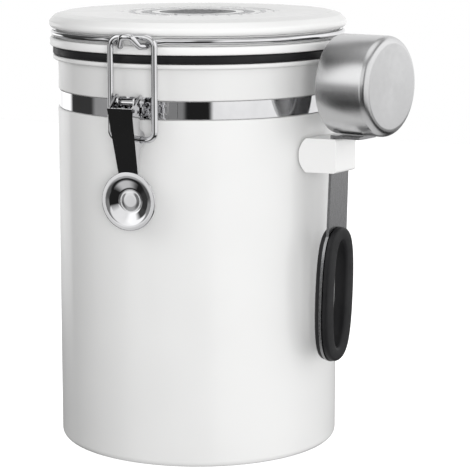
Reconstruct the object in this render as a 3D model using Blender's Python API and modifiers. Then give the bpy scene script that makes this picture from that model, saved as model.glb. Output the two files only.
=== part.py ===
"""Food storage canister: a coated steel can with a clamp lid, a date dial and a scoop.

Lengths are metres and +Z is up. The can stands on z = 0 with its axis on Z. The latch
faces -Y and the lid's hinge is at +Y. An azimuth is measured from -Y towards +X.
"""

import math

import bmesh
import bpy
from mathutils import Matrix, Vector

# Values shared by all pieces
CLEARANCE = 0.0003
OVERRUN = 0.002
MERGE_DISTANCE = 0.00001
WELD_DISTANCE = 0.000001
ROUND_STEPS = 64
CUP_STEPS = 40
DISC_STEPS = 28
PIN_STEPS = 12
HUB_STEPS = 32
FILLET_LENGTH = 0.0016

# Can: a drawn shell with a groove for the neck band, a collar and a rolled rim
BODY_RADIUS = 0.0625
BODY_WALL = 0.0007
RIM_HEIGHT = 0.1737
BASE_THICKNESS = 0.0009
BASE_CORNER = 0.0028
GROOVE_DEPTH = 0.00155
GROOVE_HEIGHT = 0.0080
GROOVE_BLEND = 0.0005
COLLAR_INSET = 0.0003
COLLAR_HEIGHT = 0.0134
BEAD_HEIGHT = 0.0020
BEAD_OVERHANG = 0.0023
BEAD_ROUND = 0.0006

# Neck band and the clip that draws its two ends together
BAND_THICKNESS = 0.0005
CLIP_START = 0.0098
CLIP_WIDTH = 0.0042
CLIP_THICKNESS = 0.0008
CLIP_TONGUE_WIDTH = 0.0038
CLIP_TONGUE_THICKNESS = 0.0004
CLIP_BUMP_RADIUS = 0.0007
CLIP_BUMP_HEIGHT = 0.0004

# Steel sheet and wire of the clamp
SHEET = 0.0008
WIRE_RADIUS = 0.0014

# Latch bracket, its rivets and the lever's pin
BRACKET_HALF_WIDTH = 0.0074
BRACKET_HEIGHT = 0.0090
BRACKET_LIFT = 0.0005
EAR_INNER_HALF_WIDTH = 0.0034
EAR_NOSE_RADIUS = 0.0024
EAR_FOOT = 0.0008
RIVET_RADIUS = 0.0007
RIVET_HEAD_RADIUS = 0.0011
RIVET_HEAD_HEIGHT = 0.0004
RIVET_EDGE = 0.0016
PIN_RADIUS = 0.0010
PIN_HEAD_RADIUS = 0.0017
PIN_HEAD_HEIGHT = 0.0006

# Latch lever: a tapered channel with a dished thumb paddle
LEVER_REACH = 0.0075
LEVER_DROP = 0.0157
LEVER_TOP_HALF_WIDTH = 0.00575
LEVER_FOOT_HALF_WIDTH = 0.0046
LEVER_LENGTH = 0.0273
LEVER_FACE_OUT = 0.0080
LEVER_FACE_DROP = 0.0017
LEVER_FOOT_OUT = 0.0006
LEVER_LAP = 0.0020
FLANGE_TIP_BACK = 0.0010
FLANGE_TIP_RISE = 0.0039
FLANGE_HOLE_WALL = 0.0014
FLANGE_WAIST_TOP = 0.0056
FLANGE_WAIST_FOOT = 0.0106
FLANGE_LOBE_WALL = 0.0013
FLANGE_LOBE_LAP = 0.0012
FLANGE_FOOT_BACK = 0.0006
FLANGE_ROUND = 0.0020
FLANGE_TIP_ROUND = 0.0009
PADDLE_RADIUS = 0.0125
PADDLE_OUT = 0.0007
DISH_RADIUS = 0.0097
DISH_FLOOR_RADIUS = 0.0050
DISH_DEPTH = 0.0024
DISH_ROUND = 0.0016

# Link: the wire loop between the lever and the nose of the lid's wire
LINK_REACH = 0.0055
LINK_DROP = 0.0154
LINK_HALF_WIDTH = 0.01015
LINK_TOP_ROUND = 0.0042
LINK_FOOT_ROUND = 0.0035
LATCH_OFFSET = 0.0012
LATCH_PLAY = 0.0005

# Lid: gasket, base with a plug, and cap
GASKET_HEIGHT = 0.0033
GASKET_OVERHANG = 0.0020
GASKET_ROUND = 0.0005
PLUG_INSET = 0.0045
PLUG_DEPTH = 0.0066
LID_WALL = 0.0016
SHELF_OVERHANG = 0.0033
SHELF_HEIGHT = 0.0036
SHELF_ROUND = 0.0007
WIRE_GROOVE_DEPTH = 0.0030
WIRE_GROOVE_HEIGHT = 0.0043
CAP_OVERHANG = 0.0035
CAP_HEIGHT = 0.0065
CAP_THICKNESS = 0.0020
CAP_SHOULDER = 0.0065
CAP_CROWN_INSET = 0.0025
CAP_CROWN_DROP = 0.0010
CAP_LIP = 0.0010
CAP_ROUND = 0.0016
RECESS_RADIUS = 0.0340
RECESS_DEPTH = 0.0018
INDEX_RADIUS = 0.0007
INDEX_EDGE = 0.0014
INDEX_DEPTH = 0.0007
INDEX_AZIMUTH = math.radians(-65.4)

# Lid wire: a ring in the lid's groove, a nose for the link and two hinge legs
NOSE_HALF_WIDTH = 0.0132
NOSE_ROOT_HALF_WIDTH = 0.0074
NOSE_ROOT_OUT = 0.0031
NOSE_ROOT_DROP = 0.0006
NOSE_SEAT_HALF_WIDTH = 0.0062
NOSE_SEAT_OUT = 0.0051
NOSE_SEAT_DROP = 0.0018
NOSE_WAIST_HALF_WIDTH = 0.0044
NOSE_WAIST_OUT = 0.0077
NOSE_TIP_HALF_WIDTH = 0.0019
NOSE_TIP_OUT = 0.0111
NOSE_TIP_RISE = 0.0023
NOSE_ROUND = 0.0018
RING_STEP = math.radians(6)
HINGE_REACH = 0.0055
HINGE_DROP = 0.0137
LEG_ROUND = 0.0020
STUB_END = 0.0010

# Hinge bracket at the back of the neck band
KNUCKLE_HALF_LENGTH = 0.0073
KNUCKLE_WALL = 0.0009
HINGE_PLATE_HALF_WIDTH = 0.0105

# Date dials in the cap's recess
DIAL_THICKNESS = 0.0012
DAY_DIAL_WIDTH = 0.0085
MONTH_DIAL_WIDTH = 0.0041
PIP_RADIUS = 0.0007
PIP_HEIGHT = 0.0003

# One-way valve in the middle of the lid
GRILLE_RADIUS = 0.0167
GRILLE_THICKNESS = 0.0006
GRILLE_SLOT_WIDTH = 0.0014
GRILLE_SLOT_PITCH = 0.0032
GRILLE_SLOTS = 7
HUB_LEDGE = 0.0035
HUB_NECK_RADIUS = 0.0147
HUB_NECK_DEPTH = 0.0022
HUB_CONE_DEPTH = 0.0048
TUBE_RADIUS = 0.0099
TUBE_WALL = 0.0014
TUBE_BELOW_PLUG = 0.0014
SEAT_HEIGHT = 0.0019
SEAT_THICKNESS = 0.0012
SEAT_HOLE_RADIUS = 0.0012
SEAT_HOLE_CIRCLE = 0.0045
SEAT_HOLES = 6
FLAP_RADIUS = 0.0072
FLAP_THICKNESS = 0.0007
FLAP_CROWN = 0.0004
STEM_RADIUS = 0.0012
STEM_LENGTH = 0.0022
FILTER_THICKNESS = 0.0014
COVER_WALL = 0.0016
COVER_THICKNESS = 0.0009
COVER_HOLE_RADIUS = 0.0010
COVER_HOLE_CIRCLE = 0.0055
COVER_HOLES = 8
COVER_ROUND = 0.0006

# Scoop and the holder that it slides into, at this azimuth on the can
SCOOP_AZIMUTH = math.radians(78)
HOLDER_LOW = 0.1263
HOLDER_HEIGHT = 0.0147
HOLDER_HALF_WIDTH = 0.0079
HOLDER_ROOT_HALF_WIDTH = 0.0128
HOLDER_OUT = 0.0159
HOLDER_BACK_SAGITTA = 0.0031
HOLDER_BACK_STEPS = 8
HOLDER_FACE_ROUND = 0.0012
HOLDER_NEAR_WALL = 0.0010
PAD_THICKNESS = 0.0008
PAD_HALF_WIDTH = 0.0062
PAD_EDGE = 0.0030
CUP_RADIUS = 0.0212
CUP_DEPTH = 0.0247
CUP_WALL = 0.0008
CUP_CORNER = 0.0036
CUP_OUT = 0.0136
HANDLE_THICKNESS = 0.0013
HANDLE_HALF_WIDTH = 0.0066
HANDLE_LENGTH = 0.1000
HANDLE_LEAN = math.radians(1.9)
TAB_LENGTH = 0.0130
TAB_THICKNESS = 0.0012
HANDLE_BEND = 0.0006

# Soft grip round the hole in the handle
GRIP_HOLE_HALF_WIDTH = 0.0047
GRIP_HOLE_HALF_HEIGHT = 0.0236
GRIP_WIDTH = 0.0060
GRIP_THICKNESS = 0.0024
GRIP_NECK = 0.0015
GRIP_ROUND = 0.0014
HANDLE_EDGE = 0.0004
OVAL_POWER = 2.4
OVAL_STEPS = 36

# Places that several pieces share
COLLAR_RADIUS = BODY_RADIUS - COLLAR_INSET
MOUTH_RADIUS = COLLAR_RADIUS - BODY_WALL
GROOVE_RADIUS = BODY_RADIUS - GROOVE_DEPTH
GROOVE_TOP = RIM_HEIGHT - BEAD_HEIGHT - COLLAR_HEIGHT
GROOVE_FOOT = GROOVE_TOP - GROOVE_HEIGHT
BAND_OUTER = GROOVE_RADIUS + CLEARANCE + BAND_THICKNESS
PLATE_INNER = COLLAR_RADIUS + CLEARANCE
PLATE_OUTER = PLATE_INNER + SHEET
PLATE_FOOT = GROOVE_FOOT + BRACKET_LIFT
PLATE_TOP = PLATE_FOOT + BRACKET_HEIGHT
GASKET_FOOT = RIM_HEIGHT + CLEARANCE
GASKET_TOP = GASKET_FOOT + GASKET_HEIGHT
SHELF_FOOT = GASKET_TOP + CLEARANCE
SHELF_TOP = SHELF_FOOT + SHELF_HEIGHT
SHELF_RADIUS = BODY_RADIUS + SHELF_OVERHANG
NECK_RADIUS = SHELF_RADIUS - WIRE_GROOVE_DEPTH
CAP_FOOT = SHELF_TOP + WIRE_GROOVE_HEIGHT
CAP_TOP = CAP_FOOT + CAP_HEIGHT
CAP_RADIUS = BODY_RADIUS + CAP_OVERHANG
PLUG_RADIUS = MOUTH_RADIUS - PLUG_INSET
PLUG_FOOT = SHELF_FOOT - PLUG_DEPTH
RECESS_FLOOR = CAP_TOP - RECESS_DEPTH
DIAL_FOOT = RECESS_FLOOR + CLEARANCE
DAY_OUTER = RECESS_RADIUS - CLEARANCE
DAY_INNER = DAY_OUTER - DAY_DIAL_WIDTH
MONTH_OUTER = DAY_INNER - CLEARANCE
MONTH_INNER = MONTH_OUTER - MONTH_DIAL_WIDTH
HUB_RADIUS = MONTH_INNER - CLEARANCE
RING_HEIGHT = SHELF_TOP + WIRE_GROOVE_HEIGHT / 2
RING_RADIUS = NECK_RADIUS + CLEARANCE + WIRE_RADIUS
HINGE_PLACE = Vector((0, BODY_RADIUS + HINGE_REACH, RIM_HEIGHT - HINGE_DROP))
LEVER_PLACE = Vector((0, -BODY_RADIUS - LEVER_REACH, RIM_HEIGHT - LEVER_DROP))
LINK_PLACE = Vector((0, -BODY_RADIUS - LINK_REACH, LEVER_PLACE.z - LINK_DROP))
NOSE_SEAT = RING_HEIGHT - NOSE_SEAT_DROP
LINK_TOP = NOSE_SEAT + 2 * WIRE_RADIUS + CLEARANCE + LATCH_PLAY
TUBE_BORE = TUBE_RADIUS - TUBE_WALL
TUBE_FOOT = PLUG_FOOT - TUBE_BELOW_PLUG
SEAT_FOOT = PLUG_FOOT + SEAT_HEIGHT
SEAT_TOP = SEAT_FOOT + SEAT_THICKNESS
HOLDER_TOP = HOLDER_LOW + HOLDER_HEIGHT
TAB_FOOT = HOLDER_TOP + CLEARANCE
CUP_CENTRE = TAB_FOOT + TAB_THICKNESS + CLEARANCE + CUP_RADIUS
CUP_RIM = BODY_RADIUS + CUP_OUT
PADDLE_DROP = LEVER_FACE_DROP + LEVER_LENGTH + PADDLE_RADIUS

# Turns that lay a flat outline or a turned shape against the can
SIDEWAYS = (math.pi / 2, 0, -math.pi / 2)
FACING = (math.pi / 2, 0, 0)
ALONG_X = (0, math.pi / 2, 0)
HANDLE_LAY = (math.pi / 2 + HANDLE_LEAN, 0, 0)

STEEL = ((0.62, 0.62, 0.63), 0.12, 1.0)
BRUSHED = ((0.55, 0.55, 0.56), 0.32, 1.0)
WHITE_COAT = ((0.86, 0.86, 0.86), 0.30, 0.0)
WHITE_PLASTIC = ((0.88, 0.88, 0.88), 0.22, 0.0)
GREY_PLASTIC = ((0.52, 0.52, 0.53), 0.35, 0.0)
DARK_PLASTIC = ((0.25, 0.25, 0.26), 0.40, 0.0)
BLACK_RUBBER = ((0.02, 0.02, 0.02), 0.45, 0.0)
FOAM = ((0.80, 0.80, 0.78), 0.90, 0.0)


def clear_scene():
    for obj in list(bpy.data.objects):
        bpy.data.objects.remove(obj, do_unlink=True)


def add_collection(name):
    collection = bpy.data.collections.new(name)
    bpy.context.scene.collection.children.link(collection)
    return collection


def add_material(name, look):
    color, roughness, metallic = look
    material = bpy.data.materials.new(name)
    material.use_nodes = True
    shader = material.node_tree.nodes["Principled BSDF"]
    shader.inputs["Base Color"].default_value = (*color, 1)
    shader.inputs["Roughness"].default_value = roughness
    shader.inputs["Metallic"].default_value = metallic
    return material


def add_object(name, data, rotation=(0, 0, 0), location=(0, 0, 0)):
    """A new object that isn't yet a part or a helper."""
    obj = bpy.data.objects.new(name, data)
    obj.rotation_euler = rotation
    obj.location = location
    bpy.context.scene.collection.objects.link(obj)
    return obj


def move_to(obj, collection):
    for old in list(obj.users_collection):
        old.objects.unlink(obj)
    collection.objects.link(obj)


def helper(obj):
    """Hides a cutter, or a solid that is joined into another."""
    obj.hide_render = True
    obj.display_type = "WIRE"
    move_to(obj, helpers)
    return obj


def part(obj, look, carrier=None):
    """Makes the object a sub-part, with its material, hung on its joint's empty."""
    if obj.data.materials:
        obj.data.materials.clear()
    obj.data.materials.append(add_material(obj.name, look))
    obj.data.shade_smooth()
    obj.data.set_sharp_from_angle(angle=math.radians(35))
    move_to(obj, parts)
    if carrier:
        hang(obj, carrier)
    return obj


def add_empty(name, location=(0, 0, 0), rotation=(0, 0, 0)):
    empty = bpy.data.objects.new(name, None)
    empty.location = location
    empty.rotation_euler = rotation
    parts.objects.link(empty)
    bpy.context.view_layer.update()
    return empty


def hang(obj, empty):
    """Parents an object to an empty and leaves it where it is."""
    obj.parent = empty
    obj.matrix_parent_inverse = empty.matrix_world.inverted()


def boolean(target, other, operation):
    modifier = target.modifiers.new(operation.lower() + "_" + other.name, "BOOLEAN")
    modifier.operation = operation
    modifier.solver = "EXACT"
    modifier.object = helper(other)


def join(target, *others):
    for other in others:
        boolean(target, other, "UNION")


def cut(target, *cutters):
    for cutter in cutters:
        boolean(target, cutter, "DIFFERENCE")


def fillet(points, closed=False):
    """The corners (place, radius) of a path, each rounded by an arc that its sides limit."""
    rounded = []
    count = len(points)
    for index, (corner, radius) in enumerate(points):
        corner = Vector(corner)
        if radius == 0 or (not closed and index in (0, count - 1)):
            rounded.append(corner)
            continue
        before = Vector(points[index - 1][0]) - corner
        after = Vector(points[(index + 1) % count][0]) - corner
        angle = before.angle(after)
        reach = min(radius / math.tan(angle / 2), 0.49 * before.length, 0.49 * after.length)
        radius = reach * math.tan(angle / 2)
        before.normalize()
        after.normalize()
        centre = corner + (before + after).normalized() * radius / math.sin(angle / 2)
        start = corner + before * reach - centre
        end = corner + after * reach - centre
        turn = math.pi - angle
        steps = max(1, round(turn * radius / FILLET_LENGTH))
        for step in range(steps + 1):
            share = step / steps
            blend = start * math.sin((1 - share) * turn) + end * math.sin(share * turn)
            rounded.append(centre + blend / math.sin(turn))
    return rounded


def profile(points, closed=False):
    """Corners (radius, height, rounding) as places in the XZ plane."""
    return fillet([((out, 0, height), rounding) for out, height, rounding in points], closed)


def outline(points):
    """Corners (across, up, rounding) of a closed flat outline in the XY plane."""
    return fillet([((across, up, 0), rounding) for across, up, rounding in points], True)


def turned(name, places, closed=False, steps=ROUND_STEPS, rotation=(0, 0, 0), location=(0, 0, 0)):
    """A profile turned about Z. It runs down its outer side."""
    edges = [(index, index + 1) for index in range(len(places) - 1)]
    if closed:
        edges.append((len(places) - 1, 0))
    mesh = bpy.data.meshes.new(name)
    mesh.from_pydata(places, edges, [])
    obj = add_object(name, mesh, rotation, location)
    screw = obj.modifiers.new("turn", "SCREW")
    screw.steps = steps
    screw.render_steps = steps
    screw.use_merge_vertices = True
    screw.merge_threshold = MERGE_DISTANCE
    return baked(obj)


def baked(obj):
    """The evaluated shape as a plain welded mesh, in the object's place."""
    bpy.context.view_layer.update()
    graph = bpy.context.evaluated_depsgraph_get()
    mesh = bpy.data.meshes.new_from_object(obj.evaluated_get(graph), depsgraph=graph)
    work = bmesh.new()
    work.from_mesh(mesh)
    bmesh.ops.remove_doubles(work, verts=work.verts, dist=WELD_DISTANCE)
    bmesh.ops.recalc_face_normals(work, faces=work.faces)
    work.to_mesh(mesh)
    work.free()
    name = obj.name
    rotation = obj.rotation_euler.copy()
    location = obj.location.copy()
    bpy.data.objects.remove(obj, do_unlink=True)
    mesh.name = name
    return add_object(name, mesh, rotation, location)


def ring(name, inner, outer, low, high, steps=ROUND_STEPS, rounding=0.0):
    corners = [
        (inner, high, 0),
        (outer, high, rounding),
        (outer, low, rounding),
        (inner, low, 0),
    ]
    return turned(name, profile(corners, True), True, steps)


def plate(name, outlines, thickness, rotation=(0, 0, 0), location=(0, 0, 0)):
    """A flat sheet, centred on its own plane. A second outline is a hole."""
    curve = bpy.data.curves.new(name, "CURVE")
    curve.dimensions = "2D"
    curve.fill_mode = "BOTH"
    curve.extrude = thickness / 2
    for places in outlines:
        add_spline(curve, places, True)
    return baked(add_object(name, curve, rotation, location))


def add_spline(curve, places, closed):
    spline = curve.splines.new("POLY")
    spline.points.add(len(places) - 1)
    for point, place in zip(spline.points, places):
        point.co = (*place, 1)
    spline.use_cyclic_u = closed


def bent_wire(name, places, closed=False):
    curve = bpy.data.curves.new(name, "CURVE")
    curve.dimensions = "3D"
    curve.bevel_depth = WIRE_RADIUS
    curve.bevel_resolution = 2
    curve.use_fill_caps = True
    add_spline(curve, places, closed)
    return baked(add_object(name, curve))


def box(name, low, high, rotation=(0, 0, 0), location=(0, 0, 0)):
    """A box between two corners, before it is turned and moved."""
    low = Vector(low)
    high = Vector(high)
    mesh = bpy.data.meshes.new(name)
    work = bmesh.new()
    bmesh.ops.create_cube(work, size=1)
    bmesh.ops.scale(work, vec=high - low, verts=work.verts)
    bmesh.ops.translate(work, vec=(low + high) / 2, verts=work.verts)
    work.to_mesh(mesh)
    work.free()
    return add_object(name, mesh, rotation, location)


def rods(name, places, radius, length, rotation=(0, 0, 0), location=(0, 0, 0), steps=PIN_STEPS):
    """Equal cylinders along Z in one object, each centred on its place."""
    mesh = bpy.data.meshes.new(name)
    work = bmesh.new()
    for place in places:
        made = bmesh.ops.create_cone(
            work,
            cap_ends=True,
            segments=steps,
            radius1=radius,
            radius2=radius,
            depth=length,
        )
        bmesh.ops.translate(work, vec=place, verts=made["verts"])
    work.to_mesh(mesh)
    work.free()
    return add_object(name, mesh, rotation, location)


def on_circle(count, radius, height, start=0.0):
    """Places that are spread evenly round Z."""
    turn = 2 * math.pi / count
    angles = [start + index * turn for index in range(count)]
    return [(radius * math.sin(angle), -radius * math.cos(angle), height) for angle in angles]


def sector(name, inner, outer, start, end, low, high, steps=8, middle=0.0):
    """A plate bent round the can between two places across the front, then turned to its azimuth."""
    first = math.asin(start / inner)
    last = math.asin(end / inner)
    angles = [first + (last - first) * step / steps for step in range(steps + 1)]
    places = [(outer * math.sin(angle), -outer * math.cos(angle), 0) for angle in angles]
    places += [(inner * math.sin(angle), -inner * math.cos(angle), 0) for angle in reversed(angles)]
    return plate(name, [places], high - low, (0, 0, middle), (0, 0, (low + high) / 2))


def make_can_shell():
    inner = BODY_RADIUS - BODY_WALL
    waist = GROOVE_RADIUS - BODY_WALL
    bead = COLLAR_RADIUS + BEAD_OVERHANG
    bead_foot = RIM_HEIGHT - BEAD_HEIGHT
    corners = [
        (0, BASE_THICKNESS, 0),
        (inner, BASE_THICKNESS, BASE_CORNER - BODY_WALL),
        (inner, GROOVE_FOOT - BODY_WALL, 0),
        (waist, GROOVE_FOOT - BODY_WALL, 0),
        (waist, GROOVE_TOP + BODY_WALL, 0),
        (MOUTH_RADIUS, GROOVE_TOP + BODY_WALL, 0),
        (MOUTH_RADIUS, RIM_HEIGHT, 0),
        (bead, RIM_HEIGHT, BEAD_ROUND),
        (bead, bead_foot, BEAD_ROUND),
        (COLLAR_RADIUS, bead_foot, 0),
        (COLLAR_RADIUS, GROOVE_TOP, 0),
        (GROOVE_RADIUS, GROOVE_TOP, 0),
        (GROOVE_RADIUS, GROOVE_FOOT, 0),
        (BODY_RADIUS, GROOVE_FOOT, GROOVE_BLEND),
        (BODY_RADIUS, 0, BASE_CORNER),
        (0, 0, 0),
    ]
    return part(turned("can_shell", profile(corners)), WHITE_COAT)


def make_neck_band():
    inner = GROOVE_RADIUS + CLEARANCE
    low = GROOVE_FOOT + CLEARANCE
    high = GROOVE_TOP - CLEARANCE
    return part(ring("neck_band", inner, BAND_OUTER, low, high), STEEL)


def make_band_clip():
    """The clip's folded plate with four pressed bumps, and the band's end that leaves it."""
    inner = BAND_OUTER + CLEARANCE
    outer = inner + CLIP_THICKNESS
    low = GROOVE_FOOT + CLEARANCE + BRACKET_LIFT
    high = GROOVE_TOP - CLEARANCE
    end = CLIP_START + CLIP_WIDTH
    clip = sector("band_clip", inner, outer, CLIP_START, end, low, high)
    tongue_end = end + CLIP_TONGUE_WIDTH
    tongue_outer = inner + CLIP_TONGUE_THICKNESS
    start = end - CLIP_TONGUE_THICKNESS
    tongue = sector("clip_tongue", inner, tongue_outer, start, tongue_end, low, high)
    azimuth = math.asin((CLIP_START + CLIP_WIDTH / 2) / outer)
    side = CLIP_WIDTH / 4
    rise = (high - low) / 4
    middle = (low + high) / 2
    places = [(x * side, middle + z * rise, 0) for x in (-1, 1) for z in (-1, 1)]
    length = CLIP_THICKNESS + 2 * CLIP_BUMP_HEIGHT
    bumps = rods("clip_bumps", places, CLIP_BUMP_RADIUS, length, (math.pi / 2, 0, azimuth))
    bumps.location = (outer * math.sin(azimuth), -outer * math.cos(azimuth), 0)
    trim = turned("clip_trim", profile([(0, high, 0), (inner, high, 0), (inner, low, 0), (0, low, 0)]))
    join(clip, tongue, bumps)
    cut(clip, trim)
    return part(clip, STEEL)


def make_bracket_ear(name, side):
    """One upright ear of the latch bracket, out to the lever's pin."""
    pivot_out = -LEVER_PLACE.y
    nose_out = pivot_out + EAR_NOSE_RADIUS
    root = PLATE_INNER + SHEET / 2
    corners = [
        (root, PLATE_TOP - EAR_FOOT, 0),
        (pivot_out, LEVER_PLACE.z + EAR_NOSE_RADIUS, EAR_NOSE_RADIUS),
        (nose_out, LEVER_PLACE.z + EAR_NOSE_RADIUS, EAR_NOSE_RADIUS),
        (nose_out, LEVER_PLACE.z - EAR_NOSE_RADIUS, EAR_NOSE_RADIUS),
        (root, PLATE_FOOT + EAR_FOOT, 0),
    ]
    across = side * (EAR_INNER_HALF_WIDTH + SHEET / 2)
    return plate(name, [outline(corners)], SHEET, SIDEWAYS, (across, 0, 0))


def radial_rods(name, places, radius, start, end):
    """Cylinders that stand out from the can's axis, between two distances from it."""
    mesh = bpy.data.meshes.new(name)
    work = bmesh.new()
    for azimuth, height in places:
        lay = Matrix.Translation((0, -(start + end) / 2, height)) @ Matrix.Rotation(math.pi / 2, 4, "X")
        bmesh.ops.create_cone(
            work,
            cap_ends=True,
            segments=PIN_STEPS,
            radius1=radius,
            radius2=radius,
            depth=end - start,
            matrix=Matrix.Rotation(azimuth, 4, "Z") @ lay,
        )
    work.to_mesh(mesh)
    work.free()
    return add_object(name, mesh)


def rivet_places(half_width, middle):
    """Azimuths and heights of a bracket plate's four rivets."""
    azimuth = math.asin((half_width - RIVET_EDGE) / PLATE_OUTER)
    heights = (PLATE_FOOT + RIVET_EDGE, GROOVE_TOP - RIVET_EDGE)
    return [(middle + side * azimuth, height) for side in (-1, 1) for height in heights]


def rivet_holes(name, places):
    radius = RIVET_RADIUS + CLEARANCE
    return radial_rods(name, places, radius, PLATE_INNER - OVERRUN, PLATE_OUTER + OVERRUN)


def make_rivets(name, places):
    """Rivets from the neck band through the plate, with their heads outside."""
    shank = BAND_OUTER + CLEARANCE
    head = PLATE_OUTER + CLEARANCE
    for index, place in enumerate(places, 1):
        rivet = radial_rods(f"{name}_{index}", [place], RIVET_RADIUS, shank, head + CLEARANCE)
        top = radial_rods(f"{name}_{index}_head", [place], RIVET_HEAD_RADIUS, head, head + RIVET_HEAD_HEIGHT)
        join(rivet, top)
        part(rivet, STEEL)


def make_latch_bracket(places):
    half = BRACKET_HALF_WIDTH
    bracket = sector("latch_bracket", PLATE_INNER, PLATE_OUTER, -half, half, PLATE_FOOT, PLATE_TOP)
    join(bracket, make_bracket_ear("left_ear", -1), make_bracket_ear("right_ear", 1))
    width = 2 * (EAR_INNER_HALF_WIDTH + SHEET + OVERRUN)
    bore = rods("ear_bore", [(0, 0, 0)], PIN_RADIUS + CLEARANCE, width, ALONG_X, LEVER_PLACE)
    cut(bracket, bore, rivet_holes("bracket_holes", places))
    return part(bracket, STEEL)


def make_lever_pin():
    """The pin through the bracket's ears and the lever's sides, with a head at each end."""
    head = LEVER_TOP_HALF_WIDTH + CLEARANCE
    end = head + PIN_HEAD_HEIGHT
    pin = rods("lever_pin", [(0, 0, 0)], PIN_RADIUS, 2 * head + PIN_HEAD_HEIGHT, ALONG_X, LEVER_PLACE)
    places = [(0, 0, side * (head + end) / 2) for side in (-1, 1)]
    join(pin, rods("pin_heads", places, PIN_HEAD_RADIUS, PIN_HEAD_HEIGHT, ALONG_X, LEVER_PLACE))
    return part(pin, STEEL)


def make_lever_flange(name, side):
    """One side of the lever's channel. Its places are out and up from the lever's pin."""
    link_back = LEVER_REACH - LINK_REACH
    lobe = WIRE_RADIUS + CLEARANCE + FLANGE_LOBE_WALL
    back = -(PIN_RADIUS + CLEARANCE + FLANGE_HOLE_WALL)
    foot = -LEVER_FACE_DROP - LEVER_LENGTH - LEVER_LAP / 2
    corners = [
        (LEVER_FACE_OUT - SHEET, -LEVER_FACE_DROP, 0),
        (-FLANGE_TIP_BACK, FLANGE_TIP_RISE, FLANGE_TIP_ROUND),
        (back, -back / 2, FLANGE_ROUND),
        (back, back, FLANGE_ROUND),
        (0, -FLANGE_WAIST_TOP, FLANGE_ROUND),
        (0, -FLANGE_WAIST_FOOT, FLANGE_ROUND),
        (-link_back - lobe, -LINK_DROP + lobe - FLANGE_LOBE_LAP / 2, lobe),
        (-link_back - lobe, -LINK_DROP - lobe + FLANGE_LOBE_LAP / 4, lobe),
        (-FLANGE_FOOT_BACK, -LINK_DROP - lobe - FLANGE_LOBE_LAP, FLANGE_ROUND),
        (-FLANGE_FOOT_BACK, foot, FLANGE_TIP_ROUND),
        (LEVER_FOOT_OUT - SHEET / 2, foot, 0),
    ]
    taper = math.atan((LEVER_TOP_HALF_WIDTH - LEVER_FOOT_HALF_WIDTH) / LEVER_LENGTH)
    flange = plate(name, [outline(corners)], SHEET, SIDEWAYS)
    turn = Matrix.Rotation(side * taper, 3, "Y") @ flange.rotation_euler.to_matrix()
    flange.rotation_euler = turn.to_euler()
    flange.location = LEVER_PLACE + Vector((side * (LEVER_TOP_HALF_WIDTH - SHEET / 2), 0, 0))
    return flange


def make_lever_face():
    """The lever's front sheet, which leans in towards the paddle."""
    lean = math.atan((LEVER_FACE_OUT - LEVER_FOOT_OUT) / LEVER_LENGTH)
    length = LEVER_LENGTH / math.cos(lean)
    lap = LEVER_LAP / math.cos(lean)
    foot = LEVER_FOOT_HALF_WIDTH - (LEVER_TOP_HALF_WIDTH - LEVER_FOOT_HALF_WIDTH) * lap / length
    corners = [
        (-LEVER_TOP_HALF_WIDTH, 0, 0),
        (-foot, -length - lap, 0),
        (foot, -length - lap, 0),
        (LEVER_TOP_HALF_WIDTH, 0, 0),
    ]
    top = LEVER_PLACE + Vector((0, -LEVER_FACE_OUT, -LEVER_FACE_DROP))
    inward = Vector((0, math.cos(lean), math.sin(lean))) * SHEET / 2
    return plate("latch_lever", [outline(corners)], SHEET, (math.pi / 2 + lean, 0, 0), top + inward)


def make_paddle():
    """The round thumb paddle, with a pressed dish, facing out."""
    corners = [
        (0, SHEET - DISH_DEPTH, 0),
        (DISH_FLOOR_RADIUS, SHEET - DISH_DEPTH, DISH_ROUND),
        (DISH_RADIUS, SHEET, DISH_ROUND),
        (PADDLE_RADIUS, SHEET, SHEET / 2),
        (PADDLE_RADIUS, 0, SHEET / 2),
        (DISH_RADIUS, 0, DISH_ROUND),
        (DISH_FLOOR_RADIUS, -DISH_DEPTH, DISH_ROUND),
        (0, -DISH_DEPTH, 0),
    ]
    place = LEVER_PLACE + Vector((0, SHEET - PADDLE_OUT, -PADDLE_DROP))
    return turned("lever_paddle", profile(corners), False, DISC_STEPS, FACING, place)


def make_latch_lever(carrier):
    lever = make_lever_face()
    join(lever, make_lever_flange("left_flange", -1), make_lever_flange("right_flange", 1), make_paddle())
    width = 2 * (LEVER_TOP_HALF_WIDTH + OVERRUN)
    pin_bore = rods("flange_pin_bore", [(0, 0, 0)], PIN_RADIUS + CLEARANCE, width, ALONG_X, LEVER_PLACE)
    link_bore = rods("flange_link_bore", [(0, 0, 0)], WIRE_RADIUS + CLEARANCE, width, ALONG_X, LINK_PLACE)
    cut(lever, pin_bore, link_bore)
    return part(lever, STEEL, carrier)


def make_link_wire(carrier):
    left = LATCH_OFFSET - LINK_HALF_WIDTH
    right = LATCH_OFFSET + LINK_HALF_WIDTH
    corners = [
        ((left, LINK_PLACE.y, LINK_PLACE.z), LINK_FOOT_ROUND),
        ((right, LINK_PLACE.y, LINK_PLACE.z), LINK_FOOT_ROUND),
        ((right, LINK_PLACE.y, LINK_TOP), LINK_TOP_ROUND),
        ((left, LINK_PLACE.y, LINK_TOP), LINK_TOP_ROUND),
    ]
    return part(bent_wire("link_wire", fillet(corners, True), True), STEEL, carrier)


def ring_arc(first, last):
    """Places on the lid's wire ring between two azimuths."""
    steps = max(1, round(abs(last - first) / RING_STEP))
    angles = [first + (last - first) * step / steps for step in range(steps + 1)]
    return [Vector((RING_RADIUS * math.sin(a), -RING_RADIUS * math.cos(a), RING_HEIGHT)) for a in angles]


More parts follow.
